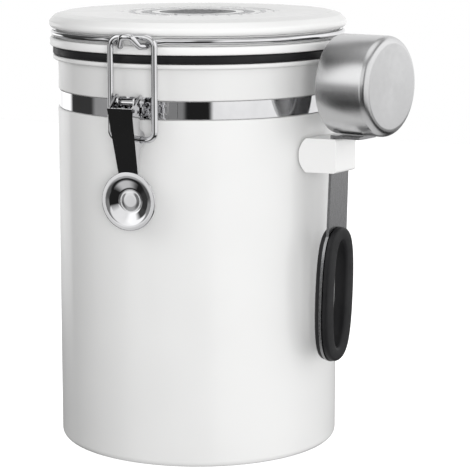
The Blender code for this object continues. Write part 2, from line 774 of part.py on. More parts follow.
def nose_half():
    """Half the nose from the ring to its tip: across, out from the can's axis, and up."""
    return [
        (NOSE_ROOT_HALF_WIDTH, BODY_RADIUS + NOSE_ROOT_OUT, RING_HEIGHT - NOSE_ROOT_DROP),
        (NOSE_SEAT_HALF_WIDTH, BODY_RADIUS + NOSE_SEAT_OUT, NOSE_SEAT),
        (NOSE_WAIST_HALF_WIDTH, BODY_RADIUS + NOSE_WAIST_OUT, NOSE_SEAT),
        (NOSE_TIP_HALF_WIDTH, BODY_RADIUS + NOSE_TIP_OUT, RING_HEIGHT + NOSE_TIP_RISE),
    ]


def hinge_leg(side, across):
    """From the hinge's barrel up to the ring: a stub, a leg and the turn onto the ring."""
    ring_back = math.sqrt(RING_RADIUS**2 - across**2)
    return [
        (HINGE_PLACE + Vector((side * STUB_END, 0, 0)), 0),
        (HINGE_PLACE + Vector((side * across, 0, 0)), LEG_ROUND),
        (Vector((side * across, HINGE_PLACE.y, RING_HEIGHT)), LEG_ROUND),
        (Vector((side * across, ring_back, RING_HEIGHT)), LEG_ROUND),
    ]


def make_lid_wire(carrier):
    """The ring, whose ends bend down into the hinge, with the nose bent out at the front."""
    across = KNUCKLE_HALF_LENGTH + CLEARANCE + WIRE_RADIUS
    leg_azimuth = math.pi - math.asin(across / RING_RADIUS)
    left = math.asin((LATCH_OFFSET - NOSE_HALF_WIDTH) / RING_RADIUS)
    right = math.asin((LATCH_OFFSET + NOSE_HALF_WIDTH) / RING_RADIUS)
    nose = nose_half()
    path = hinge_leg(-1, across)
    path += [(place, 0) for place in ring_arc(-leg_azimuth, left)[1:]]
    path += [((LATCH_OFFSET - aside, -out, up), NOSE_ROUND) for aside, out, up in nose]
    path += [((LATCH_OFFSET + aside, -out, up), NOSE_ROUND) for aside, out, up in reversed(nose)]
    path += [(place, 0) for place in ring_arc(right, leg_azimuth)[:-1]]
    path += reversed(hinge_leg(1, across))
    return part(bent_wire("lid_wire", fillet(path)), STEEL, carrier)


def make_hinge_bracket(places):
    """A plate on the band with a rolled knuckle for the lid wire's two stubs."""
    half = HINGE_PLATE_HALF_WIDTH
    size = (PLATE_INNER, PLATE_OUTER, -half, half, PLATE_FOOT, PLATE_TOP)
    bracket = sector("hinge_bracket", *size, middle=math.pi)
    bore = WIRE_RADIUS + CLEARANCE
    outer = bore + KNUCKLE_WALL
    length = 2 * KNUCKLE_HALF_LENGTH
    barrel = rods("hinge_barrel", [(0, 0, 0)], outer, length, ALONG_X, HINGE_PLACE, DISC_STEPS)
    low = (-KNUCKLE_HALF_LENGTH, PLATE_INNER + SHEET / 4, HINGE_PLACE.z - outer)
    high = (KNUCKLE_HALF_LENGTH, HINGE_PLACE.y, HINGE_PLACE.z - bore)
    join(bracket, box("hinge_web", low, high), barrel)
    hole = rods("hinge_bore", [(0, 0, 0)], bore, length + 2 * OVERRUN, ALONG_X, HINGE_PLACE, DISC_STEPS)
    cut(bracket, hole, rivet_holes("hinge_holes", places))
    return part(bracket, STEEL)


def make_gasket(carrier):
    inner = PLUG_RADIUS + CLEARANCE
    outer = BODY_RADIUS + GASKET_OVERHANG
    gasket = ring("lid_gasket", inner, outer, GASKET_FOOT, GASKET_TOP, rounding=GASKET_ROUND)
    return part(gasket, BLACK_RUBBER, carrier)


def make_lid_base(carrier):
    """The lid's lower moulding: a shelf, the wire's groove and a plug inside the mouth."""
    wall_top = CAP_FOOT - CLEARANCE
    neck_inner = NECK_RADIUS - LID_WALL
    plug_inner = PLUG_RADIUS - LID_WALL
    bore = TUBE_RADIUS + CLEARANCE
    corners = [
        (NECK_RADIUS, wall_top, 0),
        (NECK_RADIUS, SHELF_TOP, 0),
        (SHELF_RADIUS, SHELF_TOP, SHELF_ROUND),
        (SHELF_RADIUS, SHELF_FOOT, SHELF_ROUND),
        (PLUG_RADIUS, SHELF_FOOT, 0),
        (PLUG_RADIUS, PLUG_FOOT, SHELF_ROUND),
        (bore, PLUG_FOOT, 0),
        (bore, PLUG_FOOT + LID_WALL, 0),
        (plug_inner, PLUG_FOOT + LID_WALL, 0),
        (plug_inner, SHELF_FOOT + LID_WALL, 0),
        (neck_inner, SHELF_FOOT + LID_WALL, 0),
        (neck_inner, wall_top, 0),
    ]
    return part(turned("lid_base", profile(corners, True), True), WHITE_PLASTIC, carrier)


def index_places():
    return on_circle(2, RECESS_RADIUS + INDEX_EDGE, CAP_TOP, INDEX_AZIMUTH)


def make_lid_cap(carrier):
    """The lid's top moulding, with a recess for the dials and a hole for the valve's hub."""
    inner = NECK_RADIUS - LID_WALL
    roof = CAP_TOP - CAP_THICKNESS
    web = RECESS_RADIUS + CAP_THICKNESS
    hole = HUB_NECK_RADIUS + CLEARANCE
    corners = [
        (RECESS_RADIUS, CAP_TOP, 0),
        (CAP_RADIUS - CAP_SHOULDER, CAP_TOP, CAP_ROUND),
        (CAP_RADIUS - CAP_CROWN_INSET, CAP_TOP - CAP_CROWN_DROP, CAP_ROUND),
        (CAP_RADIUS, CAP_TOP - CAP_CROWN_DROP - CAP_CROWN_INSET, CAP_ROUND),
        (CAP_RADIUS, CAP_FOOT + CAP_LIP, CAP_ROUND),
        (CAP_RADIUS - CAP_LIP, CAP_FOOT, 0),
        (inner, CAP_FOOT, 0),
        (inner, roof - CAP_THICKNESS, 0),
        (inner - CAP_THICKNESS, roof, 0),
        (web, roof, 0),
        (web, RECESS_FLOOR - CAP_THICKNESS, 0),
        (hole, RECESS_FLOOR - CAP_THICKNESS, 0),
        (hole, RECESS_FLOOR, 0),
        (RECESS_RADIUS, RECESS_FLOOR, 0),
    ]
    cap = turned("lid_cap", profile(corners, True), True)
    depth = 2 * (INDEX_DEPTH + CLEARANCE)
    cut(cap, rods("index_holes", index_places(), INDEX_RADIUS + CLEARANCE, depth))
    return part(cap, WHITE_PLASTIC, carrier)


def make_index_marks(carrier):
    """Two dots beside the dials, each in its own blind hole."""
    for index, place in enumerate(index_places(), 1):
        middle = Vector(place) - Vector((0, 0, INDEX_DEPTH / 2))
        part(rods(f"index_mark_{index}", [middle], INDEX_RADIUS, INDEX_DEPTH), GREY_PLASTIC, carrier)


def make_dial(name, inner, outer, look, carrier):
    """A flat dial that turns in the recess, with a pip to turn it by."""
    top = DIAL_FOOT + DIAL_THICKNESS
    dial = ring(name, inner, outer, DIAL_FOOT, top)
    place = [(0, -(inner + outer) / 2, top)]
    join(dial, rods(name + "_pip", place, PIP_RADIUS, 2 * PIP_HEIGHT))
    return part(dial, look, carrier)


def make_valve_body(carrier):
    """The hub between the dials, and the tube that carries the valve's seat through the lid."""
    top = DIAL_FOOT + DIAL_THICKNESS
    pocket = GRILLE_RADIUS + CLEARANCE
    ledge = DIAL_FOOT + CLEARANCE
    neck_foot = DIAL_FOOT - HUB_NECK_DEPTH
    cone_foot = neck_foot - HUB_CONE_DEPTH
    corners = [
        (0, SEAT_TOP, 0),
        (TUBE_BORE, SEAT_TOP, 0),
        (TUBE_BORE, cone_foot, 0),
        (pocket - HUB_LEDGE, neck_foot, 0),
        (pocket - HUB_LEDGE, ledge, 0),
        (pocket, ledge, 0),
        (pocket, top, 0),
        (HUB_RADIUS, top, 0),
        (HUB_RADIUS, DIAL_FOOT, 0),
        (HUB_NECK_RADIUS, DIAL_FOOT, 0),
        (HUB_NECK_RADIUS, neck_foot, 0),
        (TUBE_RADIUS, cone_foot, 0),
        (TUBE_RADIUS, TUBE_FOOT, 0),
        (TUBE_BORE, TUBE_FOOT, 0),
        (TUBE_BORE, SEAT_FOOT, 0),
        (0, SEAT_FOOT, 0),
    ]
    body = turned("valve_body", profile(corners), steps=HUB_STEPS)
    middle = (SEAT_TOP + SEAT_FOOT) / 2
    depth = SEAT_THICKNESS + 2 * OVERRUN
    vents = rods("seat_vents", on_circle(SEAT_HOLES, SEAT_HOLE_CIRCLE, middle), SEAT_HOLE_RADIUS, depth)
    bore = rods("stem_bore", [(0, 0, middle)], STEM_RADIUS + CLEARANCE, depth)
    cut(body, vents, bore)
    return part(body, WHITE_PLASTIC, carrier)


def make_valve_grille(carrier):
    """The slotted cover in the hub."""
    low = DIAL_FOOT + 2 * CLEARANCE
    high = low + GRILLE_THICKNESS
    corners = [(0, high, 0), (GRILLE_RADIUS, high, 0), (GRILLE_RADIUS, low, 0), (0, low, 0)]
    grille = turned("valve_grille", profile(corners), steps=HUB_STEPS)
    reach = GRILLE_RADIUS - HUB_LEDGE
    for index in range(GRILLE_SLOTS):
        across = (index - (GRILLE_SLOTS - 1) / 2) * GRILLE_SLOT_PITCH
        half_length = math.sqrt(max(reach**2 - across**2, GRILLE_SLOT_PITCH**2))
        start = (across - GRILLE_SLOT_WIDTH / 2, -half_length, low - OVERRUN)
        end = (across + GRILLE_SLOT_WIDTH / 2, half_length, high + OVERRUN)
        cut(grille, box(f"grille_slot_{index}", start, end))
    return part(grille, DARK_PLASTIC, carrier)


def make_valve_flap(carrier):
    """The soft flap that lifts off the seat's vents, on its stem."""
    foot = SEAT_TOP + CLEARANCE
    corners = [
        (0, foot + FLAP_THICKNESS + FLAP_CROWN, 0),
        (FLAP_RADIUS, foot + FLAP_THICKNESS - FLAP_CROWN, 0),
        (FLAP_RADIUS, foot, 0),
        (STEM_RADIUS, foot, 0),
        (STEM_RADIUS, foot - STEM_LENGTH, 0),
        (0, foot - STEM_LENGTH, 0),
    ]
    return part(turned("valve_flap", profile(corners), steps=DISC_STEPS), BLACK_RUBBER, carrier)


def make_valve_cover(carrier):
    """The drilled cap that closes the tube under the lid and holds the filter."""
    inner = TUBE_RADIUS + CLEARANCE
    outer = inner + COVER_WALL
    floor = TUBE_FOOT - CLEARANCE
    top = PLUG_FOOT - CLEARANCE
    foot = floor - COVER_THICKNESS
    corners = [
        (0, floor, 0),
        (inner, floor, 0),
        (inner, top, 0),
        (outer, top, 0),
        (outer, foot, COVER_ROUND),
        (0, foot, 0),
    ]
    cover = turned("valve_cover", profile(corners), steps=DISC_STEPS)
    places = on_circle(COVER_HOLES, COVER_HOLE_CIRCLE, (floor + foot) / 2)
    cut(cover, rods("cover_holes", places, COVER_HOLE_RADIUS, COVER_THICKNESS + 2 * OVERRUN))
    return part(cover, WHITE_PLASTIC, carrier)


def make_filter(carrier):
    middle = TUBE_FOOT + FILTER_THICKNESS / 2
    radius = TUBE_BORE - CLEARANCE
    disc = rods("filter_disc", [(0, 0, middle)], radius, FILTER_THICKNESS, steps=DISC_STEPS)
    return part(disc, FOAM, carrier)


def make_holder_pad(frame):
    inner = BODY_RADIUS + CLEARANCE
    half = PAD_HALF_WIDTH
    low = HOLDER_LOW + PAD_EDGE
    high = HOLDER_TOP - PAD_EDGE
    pad = sector("holder_pad", inner, inner + PAD_THICKNESS, -half, half, low, high)
    pad.parent = frame
    return part(pad, FOAM)


def handle_top():
    """Where the handle's outer face meets the tab under the cup."""
    return Vector((0, -CUP_RIM, TAB_FOOT + TAB_THICKNESS))


def handle_inward():
    """From the handle's outer face to the middle of its sheet."""
    return Vector((0, math.cos(HANDLE_LEAN), math.sin(HANDLE_LEAN))) * HANDLE_THICKNESS / 2


def holder_back():
    """The bowed back edge of the holder, from its top to its foot: out from the can's axis, and up."""
    half = HOLDER_HEIGHT / 2
    bow = (half**2 + HOLDER_BACK_SAGITTA**2) / (2 * HOLDER_BACK_SAGITTA)
    spread = math.asin(half / bow)
    places = []
    for step in range(HOLDER_BACK_STEPS + 1):
        angle = spread * (1 - 2 * step / HOLDER_BACK_STEPS)
        out = BODY_RADIUS + bow * (1 - math.cos(angle))
        places.append((out, HOLDER_LOW + half + bow * math.sin(angle), 0))
    return places


def holder_flank(name, side):
    """A cutter beside the holder, which leaves it wider at the can than at its face."""
    flare = math.atan((HOLDER_ROOT_HALF_WIDTH - HOLDER_HALF_WIDTH) / HOLDER_OUT)
    width = side * (HOLDER_ROOT_HALF_WIDTH + OVERRUN)
    low = (min(0, width), -OVERRUN, -OVERRUN)
    high = (max(0, width), HOLDER_OUT + HOLDER_ROOT_HALF_WIDTH, HOLDER_HEIGHT + OVERRUN)
    place = (side * HOLDER_HALF_WIDTH, -BODY_RADIUS - HOLDER_OUT, HOLDER_LOW)
    return box(name, low, high, (0, 0, -side * flare), place)


def make_scoop_holder(frame):
    """A block on the can's wall, with a slot that is open at the far side for the handle."""
    saddle = BODY_RADIUS + 2 * CLEARANCE + PAD_THICKNESS
    face = BODY_RADIUS + HOLDER_OUT
    corners = [
        (face, HOLDER_LOW, HOLDER_FACE_ROUND),
        (face, HOLDER_TOP, HOLDER_FACE_ROUND),
        *holder_back(),
    ]
    holder = plate("scoop_holder", [outline(corners)], 2 * HOLDER_ROOT_HALF_WIDTH, SIDEWAYS)
    top = HOLDER_TOP + OVERRUN
    foot = HOLDER_LOW - OVERRUN
    wall = turned("saddle_cut", profile([(0, top, 0), (saddle, top, 0), (saddle, foot, 0), (0, foot, 0)]))
    near_flank = holder_flank("near_flank", -1)
    far_flank = holder_flank("far_flank", 1)
    low = (HOLDER_NEAR_WALL - HOLDER_HALF_WIDTH, -CLEARANCE, -2 * HOLDER_HEIGHT)
    high = (HOLDER_ROOT_HALF_WIDTH, HANDLE_THICKNESS + CLEARANCE, HOLDER_HEIGHT)
    slot = box("holder_slot", low, high, (HANDLE_LEAN, 0, 0), handle_top())
    cut(holder, wall, near_flank, far_flank, slot)
    for obj in (holder, wall, near_flank, far_flank, slot):
        obj.parent = frame
    return part(holder, WHITE_PLASTIC)


def make_scoop_cup(frame):
    corners = [
        (0, CUP_DEPTH, 0),
        (CUP_RADIUS, CUP_DEPTH, CUP_CORNER),
        (CUP_RADIUS, 0, CUP_WALL / 4),
        (CUP_RADIUS - CUP_WALL, 0, CUP_WALL / 4),
        (CUP_RADIUS - CUP_WALL, CUP_DEPTH - CUP_WALL, CUP_CORNER - CUP_WALL),
        (0, CUP_DEPTH - CUP_WALL, 0),
    ]
    place = (0, -CUP_RIM, CUP_CENTRE)
    cup = turned("scoop_cup", profile(corners), False, CUP_STEPS, FACING, place)
    cup.parent = frame
    return part(cup, BRUSHED)


def oval(out=0.0, centre=0.0):
    """The grip's hole, or a line at an even distance outside it."""
    places = []
    for step in range(OVAL_STEPS):
        angle = 2 * math.pi * step / OVAL_STEPS
        across = math.copysign(abs(math.cos(angle)) ** (2 / OVAL_POWER), math.cos(angle))
        up = math.copysign(abs(math.sin(angle)) ** (2 / OVAL_POWER), math.sin(angle))
        lean_across = math.copysign(abs(across) ** (OVAL_POWER - 1), across) / GRIP_HOLE_HALF_WIDTH
        lean_up = math.copysign(abs(up) ** (OVAL_POWER - 1), up) / GRIP_HOLE_HALF_HEIGHT
        normal = Vector((lean_across, lean_up, 0)).normalized()
        place = Vector((across * GRIP_HOLE_HALF_WIDTH, centre + up * GRIP_HOLE_HALF_HEIGHT, 0))
        places.append(place + normal * out)
    return places


def oval_drop():
    """How far the oval's centre is below the tab, along the handle."""
    return HANDLE_LENGTH - HANDLE_EDGE - GRIP_WIDTH - GRIP_HOLE_HALF_HEIGHT


def make_scoop_handle(frame):
    """The strip with its oval end, and the tab bent out under the cup."""
    drop = oval_drop()
    outer = oval(GRIP_WIDTH + HANDLE_EDGE, -drop)
    quarter = OVAL_STEPS // 4
    around = outer[quarter:] + outer[:quarter]
    lower = [place for place in around if place.y < -drop or abs(place.x) > HANDLE_HALF_WIDTH]
    edge = [Vector((-HANDLE_HALF_WIDTH, 0, 0)), *lower, Vector((HANDLE_HALF_WIDTH, 0, 0))]
    hole = oval(GRIP_NECK + CLEARANCE, -drop)
    handle = plate("scoop_handle", [edge, hole], HANDLE_THICKNESS, HANDLE_LAY, handle_top() + handle_inward())
    low = (-HANDLE_HALF_WIDTH, -TAB_LENGTH, -TAB_THICKNESS)
    high = (HANDLE_HALF_WIDTH, HANDLE_THICKNESS - HANDLE_BEND, 0)
    tab = box("handle_tab", low, high, (0, 0, 0), handle_top())
    join(handle, tab)
    for obj in (handle, tab):
        obj.parent = frame
    return part(handle, BRUSHED)


def make_scoop_grip(frame):
    """A grommet that grips the edge of the handle's hole from both faces."""
    gap = HANDLE_THICKNESS / 2 + CLEARANCE
    face = gap + GRIP_THICKNESS
    corners = [
        (0, -face, GRIP_ROUND),
        (GRIP_WIDTH, -face, GRIP_ROUND),
        (GRIP_WIDTH, -gap, 0),
        (GRIP_NECK, -gap, 0),
        (GRIP_NECK, gap, 0),
        (GRIP_WIDTH, gap, 0),
        (GRIP_WIDTH, face, GRIP_ROUND),
        (0, face, GRIP_ROUND),
    ]
    section = bpy.data.curves.new("grip_section", "CURVE")
    section.dimensions = "2D"
    add_spline(section, outline(corners), True)
    path = bpy.data.curves.new("scoop_grip", "CURVE")
    path.dimensions = "3D"
    path.twist_mode = "Z_UP"
    path.bevel_mode = "OBJECT"
    path.bevel_object = helper(add_object("grip_section", section))
    add_spline(path, oval(), True)
    down = Vector((0, math.sin(HANDLE_LEAN), -math.cos(HANDLE_LEAN))) * oval_drop()
    grip = baked(add_object("scoop_grip", path, HANDLE_LAY, handle_top() + down + handle_inward()))
    grip.parent = frame
    return part(grip, BLACK_RUBBER)


clear_scene()
parts = add_collection("food_storage_canister")
helpers = add_collection("helpers")

lid_axis = add_empty("lid_axis", HINGE_PLACE)
lever_axis = add_empty("lever_axis", LEVER_PLACE)
link_axis = add_empty("link_axis", LINK_PLACE)
hang(link_axis, lever_axis)
scoop_frame = add_empty("scoop_frame", rotation=(0, 0, SCOOP_AZIMUTH))

latch_rivets = rivet_places(BRACKET_HALF_WIDTH, 0)
hinge_rivets = rivet_places(HINGE_PLATE_HALF_WIDTH, math.pi)

make_can_shell()
make_neck_band()
make_band_clip()
make_latch_bracket(latch_rivets)
make_rivets("latch_rivet", latch_rivets)
make_lever_pin()
make_hinge_bracket(hinge_rivets)
make_rivets("hinge_rivet", hinge_rivets)
make_latch_lever(lever_axis)
make_link_wire(link_axis)
make_lid_wire(lid_axis)
make_gasket(lid_axis)
make_lid_base(lid_axis)
make_lid_cap(lid_axis)
make_index_marks(lid_axis)
make_dial("day_dial", DAY_INNER, DAY_OUTER, WHITE_PLASTIC, lid_axis)
make_dial("month_dial", MONTH_INNER, MONTH_OUTER, GREY_PLASTIC, lid_axis)
make_valve_body(lid_axis)
make_valve_grille(lid_axis)
make_valve_flap(lid_axis)
make_filter(lid_axis)
make_valve_cover(lid_axis)
make_holder_pad(scoop_frame)
make_scoop_holder(scoop_frame)
make_scoop_cup(scoop_frame)
make_scoop_handle(scoop_frame)
make_scoop_grip(scoop_frame)
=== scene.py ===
"""Looks of the food storage canister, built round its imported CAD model.

Lengths are metres in the model's own frame: +Z up, the latch towards -Y, the scoop at +X.
Fine pieces take the places of the faceted solids, from the same sizes.
"""

from math import asin, atan, copysign, cos, pi, radians, sin, sqrt, tan

import bmesh
import bpy
from mathutils import Matrix, Vector


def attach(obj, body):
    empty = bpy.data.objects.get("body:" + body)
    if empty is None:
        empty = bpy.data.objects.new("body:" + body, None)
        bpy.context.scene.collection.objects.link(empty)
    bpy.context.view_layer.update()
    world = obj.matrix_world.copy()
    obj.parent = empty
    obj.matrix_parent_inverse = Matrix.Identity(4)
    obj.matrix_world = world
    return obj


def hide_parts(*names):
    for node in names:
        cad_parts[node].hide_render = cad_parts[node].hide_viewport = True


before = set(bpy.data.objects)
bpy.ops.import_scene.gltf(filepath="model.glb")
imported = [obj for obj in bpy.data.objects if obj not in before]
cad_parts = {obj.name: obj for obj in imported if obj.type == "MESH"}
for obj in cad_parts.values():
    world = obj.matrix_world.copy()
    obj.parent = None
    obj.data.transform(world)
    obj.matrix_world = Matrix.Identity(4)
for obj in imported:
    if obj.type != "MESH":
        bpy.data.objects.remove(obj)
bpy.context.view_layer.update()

FINE = "_fine"

# Values shared by all pieces, and how finely they are made
CLEARANCE = 0.0003
OVERRUN = 0.002
MERGE_DISTANCE = 0.00001
WELD_DISTANCE = 0.000001
ROUND_STEPS = 180
CUP_STEPS = 128
DISC_STEPS = 72
PIN_STEPS = 32
HUB_STEPS = 128
FILLET_LENGTH = 0.0004
LEAST_FILLET_STEPS = 3
WIRE_STEPS = 6
SHARP_ANGLE = radians(38)
FLAT_ANGLE = radians(0.3)
EDGE_SEGMENTS = 3
SECTOR_STEPS = 8
FILLET_SHARE = 0.49

# Can: a drawn shell with a groove for the neck band, a collar and a rolled rim
BODY_RADIUS = 0.0625
BODY_WALL = 0.0007
RIM_HEIGHT = 0.1737
BASE_THICKNESS = 0.0009
BASE_CORNER = 0.0028
GROOVE_DEPTH = 0.00155
GROOVE_HEIGHT = 0.0080
GROOVE_BLEND = 0.0005
COLLAR_INSET = 0.0003
COLLAR_HEIGHT = 0.0134
BEAD_HEIGHT = 0.0020
BEAD_OVERHANG = 0.0023
BEAD_ROUND = 0.0006

# Neck band and the clip that draws its two ends together
BAND_THICKNESS = 0.0005
CLIP_START = 0.0098
CLIP_WIDTH = 0.0042
CLIP_THICKNESS = 0.0008
CLIP_TONGUE_WIDTH = 0.0038
CLIP_TONGUE_THICKNESS = 0.0004
CLIP_BUMP_RADIUS = 0.0007
CLIP_BUMP_HEIGHT = 0.0004

# Steel sheet and wire of the clamp
SHEET = 0.0008
WIRE_RADIUS = 0.0014

# Latch bracket, its rivets and the lever's pin
BRACKET_HALF_WIDTH = 0.0074
BRACKET_HEIGHT = 0.0090
BRACKET_LIFT = 0.0005
EAR_INNER_HALF_WIDTH = 0.0034
EAR_NOSE_RADIUS = 0.0024
EAR_FOOT = 0.0008
RIVET_RADIUS = 0.0007
RIVET_HEAD_RADIUS = 0.0011
RIVET_HEAD_HEIGHT = 0.0004
RIVET_EDGE = 0.0016
PIN_RADIUS = 0.0010
PIN_HEAD_RADIUS = 0.0017
PIN_HEAD_HEIGHT = 0.0006

# Latch lever: a tapered channel with a dished thumb paddle
LEVER_REACH = 0.0075
LEVER_DROP = 0.0157
LEVER_TOP_HALF_WIDTH = 0.00575
LEVER_FOOT_HALF_WIDTH = 0.0046
LEVER_LENGTH = 0.0273
LEVER_FACE_OUT = 0.0080
LEVER_FACE_DROP = 0.0017
LEVER_FOOT_OUT = 0.0006
LEVER_LAP = 0.0020
FLANGE_TIP_BACK = 0.0010
FLANGE_TIP_RISE = 0.0039
FLANGE_HOLE_WALL = 0.0014
FLANGE_WAIST_TOP = 0.0056
FLANGE_WAIST_FOOT = 0.0106
FLANGE_LOBE_WALL = 0.0013
FLANGE_LOBE_LAP = 0.0012
FLANGE_FOOT_BACK = 0.0006
FLANGE_ROUND = 0.0020
FLANGE_TIP_ROUND = 0.0009
PADDLE_RADIUS = 0.0125
PADDLE_OUT = 0.0007
DISH_RADIUS = 0.0097
DISH_FLOOR_RADIUS = 0.0050
DISH_DEPTH = 0.0024
DISH_ROUND = 0.0110
DISH_DOME = 0.0003
DISH_DOME_RADIUS = 0.0030
DISH_DOME_ROUND = 0.0080

# Link: the wire loop between the lever and the nose of the lid's wire
LINK_REACH = 0.0055
LINK_DROP = 0.0154
LINK_HALF_WIDTH = 0.01015
LINK_TOP_ROUND = 0.0042
LINK_FOOT_ROUND = 0.0035
LATCH_OFFSET = 0.0012
LATCH_PLAY = 0.0005

# Lid: gasket, base with a plug, and cap
GASKET_HEIGHT = 0.0033
GASKET_OVERHANG = 0.0020
GASKET_ROUND = 0.0005
PLUG_INSET = 0.0045
PLUG_DEPTH = 0.0066
LID_WALL = 0.0016
SHELF_OVERHANG = 0.0033
SHELF_HEIGHT = 0.0036
SHELF_ROUND = 0.0007
WIRE_GROOVE_DEPTH = 0.0030
WIRE_GROOVE_HEIGHT = 0.0043
CAP_OVERHANG = 0.0035
CAP_HEIGHT = 0.0065
CAP_THICKNESS = 0.0020
CAP_SHOULDER = 0.0065
CAP_CROWN_INSET = 0.0025
CAP_CROWN_DROP = 0.0010
CAP_LIP = 0.0010
CAP_ROUND = 0.0016
RECESS_RADIUS = 0.0340
RECESS_DEPTH = 0.0018
INDEX_RADIUS = 0.0007
INDEX_EDGE = 0.0014
INDEX_DEPTH = 0.0007
INDEX_AZIMUTH = radians(-65.4)

# Lid wire: a ring in the lid's groove, a nose for the link and two hinge legs
NOSE_HALF_WIDTH = 0.0132
NOSE_SEAT_RISE = -0.0018
NOSE_ROUND = 0.0018
# Half the nose, from its root to its tip: across, out from the body, and up from the ring
NOSE_HALF = (
    (0.0074, 0.0031, -0.0006),
    (0.0062, 0.0051, NOSE_SEAT_RISE),
    (0.0044, 0.0077, NOSE_SEAT_RISE),
    (0.0019, 0.0111, 0.0023),
)
RING_STEP = radians(2)
HINGE_REACH = 0.0055
HINGE_DROP = 0.0137
LEG_ROUND = 0.0020
STUB_END = 0.0010

# Hinge bracket at the back of the neck band
KNUCKLE_HALF_LENGTH = 0.0073
KNUCKLE_WALL = 0.0009
HINGE_PLATE_HALF_WIDTH = 0.0105

# Date dials in the cap's recess
DIAL_THICKNESS = 0.0012
DAY_DIAL_WIDTH = 0.0085
MONTH_DIAL_WIDTH = 0.0041
PIP_RADIUS = 0.0007
PIP_HEIGHT = 0.0003

# One-way valve in the middle of the lid
GRILLE_RADIUS = 0.0167
GRILLE_THICKNESS = 0.0006
GRILLE_SLOT_WIDTH = 0.0014
GRILLE_SLOT_PITCH = 0.0032
GRILLE_SLOTS = 7
HUB_LEDGE = 0.0035
HUB_NECK_RADIUS = 0.0147
HUB_NECK_DEPTH = 0.0022
HUB_CONE_DEPTH = 0.0048
TUBE_RADIUS = 0.0099
TUBE_WALL = 0.0014
TUBE_BELOW_PLUG = 0.0014
SEAT_HEIGHT = 0.0019
SEAT_THICKNESS = 0.0012
SEAT_HOLE_RADIUS = 0.0012
SEAT_HOLE_CIRCLE = 0.0045
SEAT_HOLES = 6
STEM_RADIUS = 0.0012

# Scoop and the holder that it slides into, at this azimuth on the can
SCOOP_AZIMUTH = radians(78)
HOLDER_LOW = 0.1263
HOLDER_HEIGHT = 0.0147
HOLDER_HALF_WIDTH = 0.0079
HOLDER_ROOT_HALF_WIDTH = 0.0128
HOLDER_OUT = 0.0159
HOLDER_BACK_SAGITTA = 0.0031
HOLDER_BACK_STEPS = 28
HOLDER_FACE_ROUND = 0.0012
HOLDER_NEAR_WALL = 0.0010
PAD_THICKNESS = 0.0008
CUP_RADIUS = 0.0212
CUP_DEPTH = 0.0247
CUP_WALL = 0.0008
CUP_CORNER = 0.0036
CUP_OUT = 0.0136
HANDLE_THICKNESS = 0.0013
HANDLE_HALF_WIDTH = 0.0066
HANDLE_LENGTH = 0.1000
HANDLE_LEAN = radians(1.9)
TAB_LENGTH = 0.0130
TAB_THICKNESS = 0.0012
HANDLE_BEND = 0.0006

# Soft grip round the hole in the handle
GRIP_HOLE_HALF_WIDTH = 0.0044
GRIP_HOLE_HALF_HEIGHT = 0.0233
GRIP_WIDTH = 0.0063
GRIP_THICKNESS = 0.0024
GRIP_NECK = 0.0018
GRIP_ROUND = 0.0014
HANDLE_EDGE = 0.0004
OVAL_POWER = 2.4
OVAL_STEPS = 120

# Edges and digits that only the fine pieces have
SHEET_EDGE = 0.00018
LEVER_EDGE = 0.0003
STRIP_ROUND = 0.0006
MOULD_EDGE = 0.0006
LID_EDGE = 0.0004
DIAL_EDGE = 0.00025
DIGIT_RISE = 0.00012
DIGIT_STEPS = 3
DAY_COUNT = 31
DAY_DIGIT_SIZE = 0.0036
MONTH_COUNT = 12
MONTH_DIGIT_SIZE = 0.0030

# The photograph's camera
PHOTO_SIZE = 470.0
SENSOR_WIDTH = 36.0
CAMERA_FOCUS = 1953.2
CAMERA_CENTRE = (195.0, 219.5)
CAMERA_DISTANCE = 0.8717
CAMERA_HEIGHT = 0.2476
CAMERA_AZIMUTH = radians(24.6)
CAMERA_PITCH = radians(9.75)
CAMERA_ROLL = radians(-0.18)
CAMERA_YAW = radians(-0.10)
CAMERA_NEAR = 0.05

# The studio's brightness by azimuth, from behind the object (0) by its left, the camera (0.5)
# and its right
AROUND_STOPS = (
    (0.070, 1.15), (0.090, 1.5), (0.135, 1.5), (0.148, 0.05), (0.228, 0.05), (0.242, 0.38),
    (0.300, 0.38), (0.330, 0.30), (0.338, 1.05), (0.372, 1.05), (0.382, 0.25), (0.440, 0.28),
    (0.466, 0.28), (0.474, 0.02), (0.526, 0.02), (0.535, 1.15), (0.715, 1.15), (0.740, 0.95),
    (0.860, 1.2), (0.930, 1.15),
)
# The same low down, above and at both ends, and how far each reaches by height, from straight
# down (0) to straight up (1). The ends go by height too
LOW_REACH = ((0.385, 1.0), (0.430, 0.0))
LOW_STOPS = (
    (0.135, 0.35), (0.150, 0.05), (0.228, 0.05), (0.260, 0.12), (0.320, 0.12), (0.338, 0.50),
    (0.372, 0.50), (0.390, 0.15), (0.466, 0.12), (0.474, 0.02), (0.526, 0.02), (0.545, 0.85),
    (0.715, 0.85), (0.760, 0.35),
)
ABOVE_REACH = ((0.515, 0.0), (0.560, 1.0))
ABOVE_STOPS = (
    (0.07, 1.0), (0.11, 0.08), (0.25, 0.08), (0.28, 1.5), (0.34, 1.5), (0.38, 1.1), (0.48, 1.1),
    (0.50, 0.40), (0.53, 0.40), (0.56, 1.2), (0.80, 1.4), (0.93, 1.0),
)
ENDS_REACH = ((0.25, 1.0), (0.30, 0.0), (0.82, 0.0), (0.88, 1.0))
ENDS_STOPS = (
    (0.0, 0.8), (0.10, 0.7), (0.15, 0.2), (0.19, 0.02), (0.28, 0.02), (0.86, 0.30), (0.92, 0.45),
    (0.97, 1.2), (1.0, 1.3),
)
# Light for what isn't polished: its share at the left and the right, and by height
FILL_LEFT = 0.36
FILL_RIGHT = 1.35
FILL_STOPS = ((0.0, 0.35), (0.25, 0.50), (0.50, 1.0), (0.65, 1.0), (0.90, 0.60), (1.0, 0.55))
